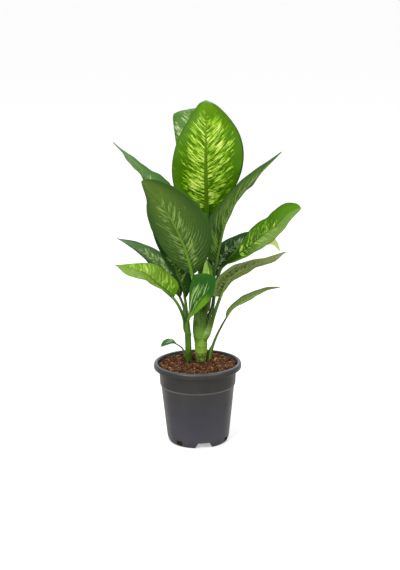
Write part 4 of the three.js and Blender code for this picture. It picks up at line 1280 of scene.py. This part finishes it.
def mulch_material(name, bed):
    """Bark and coir: each chip has its own brown between near black and tan, with grain along it, and a
    painted shade darkens the mulch round the canes."""
    material, tree, shader = new_material(name, 0.9, 0.25)
    place = tree.parts(tree.place())
    uneven = tree.group(GROUPS["uneven"], seed=5.0, scale=160.0, fine_scale=1400.0)
    if bed:
        dark, light = EARTH["bed"]
        brown = tree.layered(dark, (tree.smooth(uneven["Broad"], 0.35, 0.7), light))
    else:
        dark, light = EARTH["chip"]
        tint, warmth, _ = tree.attribute("chip_tint")
        brown = tree.layered(
            dark,
            (tree.smooth(tint, 0.0, 1.0), light),
            (tree.smooth(warmth, 0.78, 1.0), EARTH["tan"]),
            (tree.smooth(warmth, 0.26, 0.0), EARTH["black"]),
        )
    brown = tree.layered(brown, (tree.smooth(uneven["Fine"], 0.5, 0.75, 0.0, 0.5), EARTH["grain"]))
    # Painted shade: the mulch darkens round each cane.
    for cane in CANES.values():
        off = [tree.minus(part, middle * MM) for part, middle in zip(place, cane["axis"][1][:2])]
        far = tree.math("SQRT", tree.math("ADD", *(tree.times(part, part) for part in off)))
        brown = tree.layered(brown, (tree.smooth(far, 0.026, 0.012, 0.0, 0.75), EARTH["cane_shade"]))
    tree.put(shader.inputs["Base Color"], brown)
    bump(tree, shader, uneven["Fine"], 0.0008, 0.8)
    return material


# Floor, lights and camera, in metres
FLOOR = dict(reach=40, glow=0.42, lit=(190, 190, 190), seen=(246, 246, 247))
# Each light's place, what it aims at, its width and its power
LIGHTS = {
    "key": ((-1.3, -2.4, 2.3), (0, 0, 0.45), 1.1, 54),
    "fill": ((1.9, -1.9, 1.3), (0, 0, 0.4), 1.4, 14),
    "back": ((0.4, 2.2, 2.0), (0, 0, 0.5), 1.2, 14),
}
# The strength of the light from all round, and how much more of it shows behind the plant
AMBIENT = dict(strength=0.6, shown=0.4)


def make_floor():
    """A wide pale floor. It looks white, and gives less light back to the plant than it seems to."""
    mesh = bpy.data.meshes.new("floor")
    r = FLOOR["reach"]
    mesh.from_pydata([(-r, -r, 0), (r, -r, 0), (r, r, 0), (-r, r, 0)], [], [(0, 1, 2, 3)])
    material, tree, shader = new_material("pale_floor", 0.9, 0.1)
    seen = tree.add("ShaderNodeLightPath").outputs["Is Camera Ray"]
    tree.put(shader.inputs["Base Color"], tree.layered(FLOOR["lit"], (seen, FLOOR["seen"])))
    shader.inputs["Emission Color"].default_value = (1, 1, 1, 1)
    tree.put(shader.inputs["Emission Strength"], tree.times(seen, FLOOR["glow"]))
    mesh.materials.append(material)
    floor = placed("floor", mesh)


def make_light(name, place, aim, size, power):
    """A round soft lamp whose own Z points away from what it aims at."""
    light = bpy.data.lights.new(name, "AREA")
    light.shape, light.size, light.energy = "DISK", size, power
    way = -unit(np.array(aim, float) - np.array(place, float))
    right = unit(np.cross((0, 0, 1), way))
    turn = Matrix(np.column_stack([right, np.cross(way, right), way]).tolist())
    placed(name, light).matrix_world = Matrix.Translation(place) @ turn.to_4x4()


def make_lights():
    """Three lamps and an even light from all round, and plain colours in the picture."""
    scene = bpy.context.scene
    scene.view_settings.view_transform = "Standard"
    scene.world = bpy.data.worlds.new("studio")
    scene.world.use_nodes = True
    tree = Tree(scene.world.node_tree)
    sky = scene.world.node_tree.nodes["Background"]
    sky.inputs["Color"].default_value = (1, 1, 1, 1)
    seen = tree.add("ShaderNodeLightPath").outputs["Is Camera Ray"]
    tree.put(sky.inputs["Strength"], tree.times(seen, AMBIENT["shown"], plus=AMBIENT["strength"]))
    for name, light in LIGHTS.items():
        make_light(name, *light)


def make_camera():
    """It looks along +Y, turned down by its pitch and round its own axis by its roll."""
    data = bpy.data.cameras.new("photograph")
    data.sensor_width = 36
    data.lens = CAMERA["focal_px"] / CAMERA["picture_height_px"] * data.sensor_width
    pitch = Matrix.Rotation(math.radians(90 - CAMERA["pitch"]), 4, "X")
    roll = Matrix.Rotation(-math.radians(CAMERA["roll"]), 4, "Z")
    camera = placed("photograph", data)
    camera.matrix_world = Matrix.Translation(CAMERA["place"]) @ (pitch @ roll)
    bpy.context.scene.camera = camera


make_camera()
make_lights()
make_floor()

GROUPS = {"feather": feather_group(), "veins": vein_group(), "uneven": grain_group()}
stem_greens = {name: petiole_material(name) for name in STEM_GREENS}
for name, leaf in LEAVES.items():
    petiole_green = stem_greens[ODD_STEMS.get(name, "green_petiole")]
    make_leaf(name, leaf, blade_material(name, LOOKS[name]), petiole_green)
for number, (name, cane) in enumerate(CANES.items()):
    make_cane(name, cane, cane_material(name + "_skin", float(number), cane))

make_pot(pot_material())
bed_brown, chip_brown = mulch_material("mulch_dark", bed=True), mulch_material("bark_chips", bed=False)
make_bed(bed_brown)
make_chips(chip_brown)
make_fibres(chip_brown)
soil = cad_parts["soil"]
soil.data.materials.clear()
soil.data.materials.append(bed_brown)
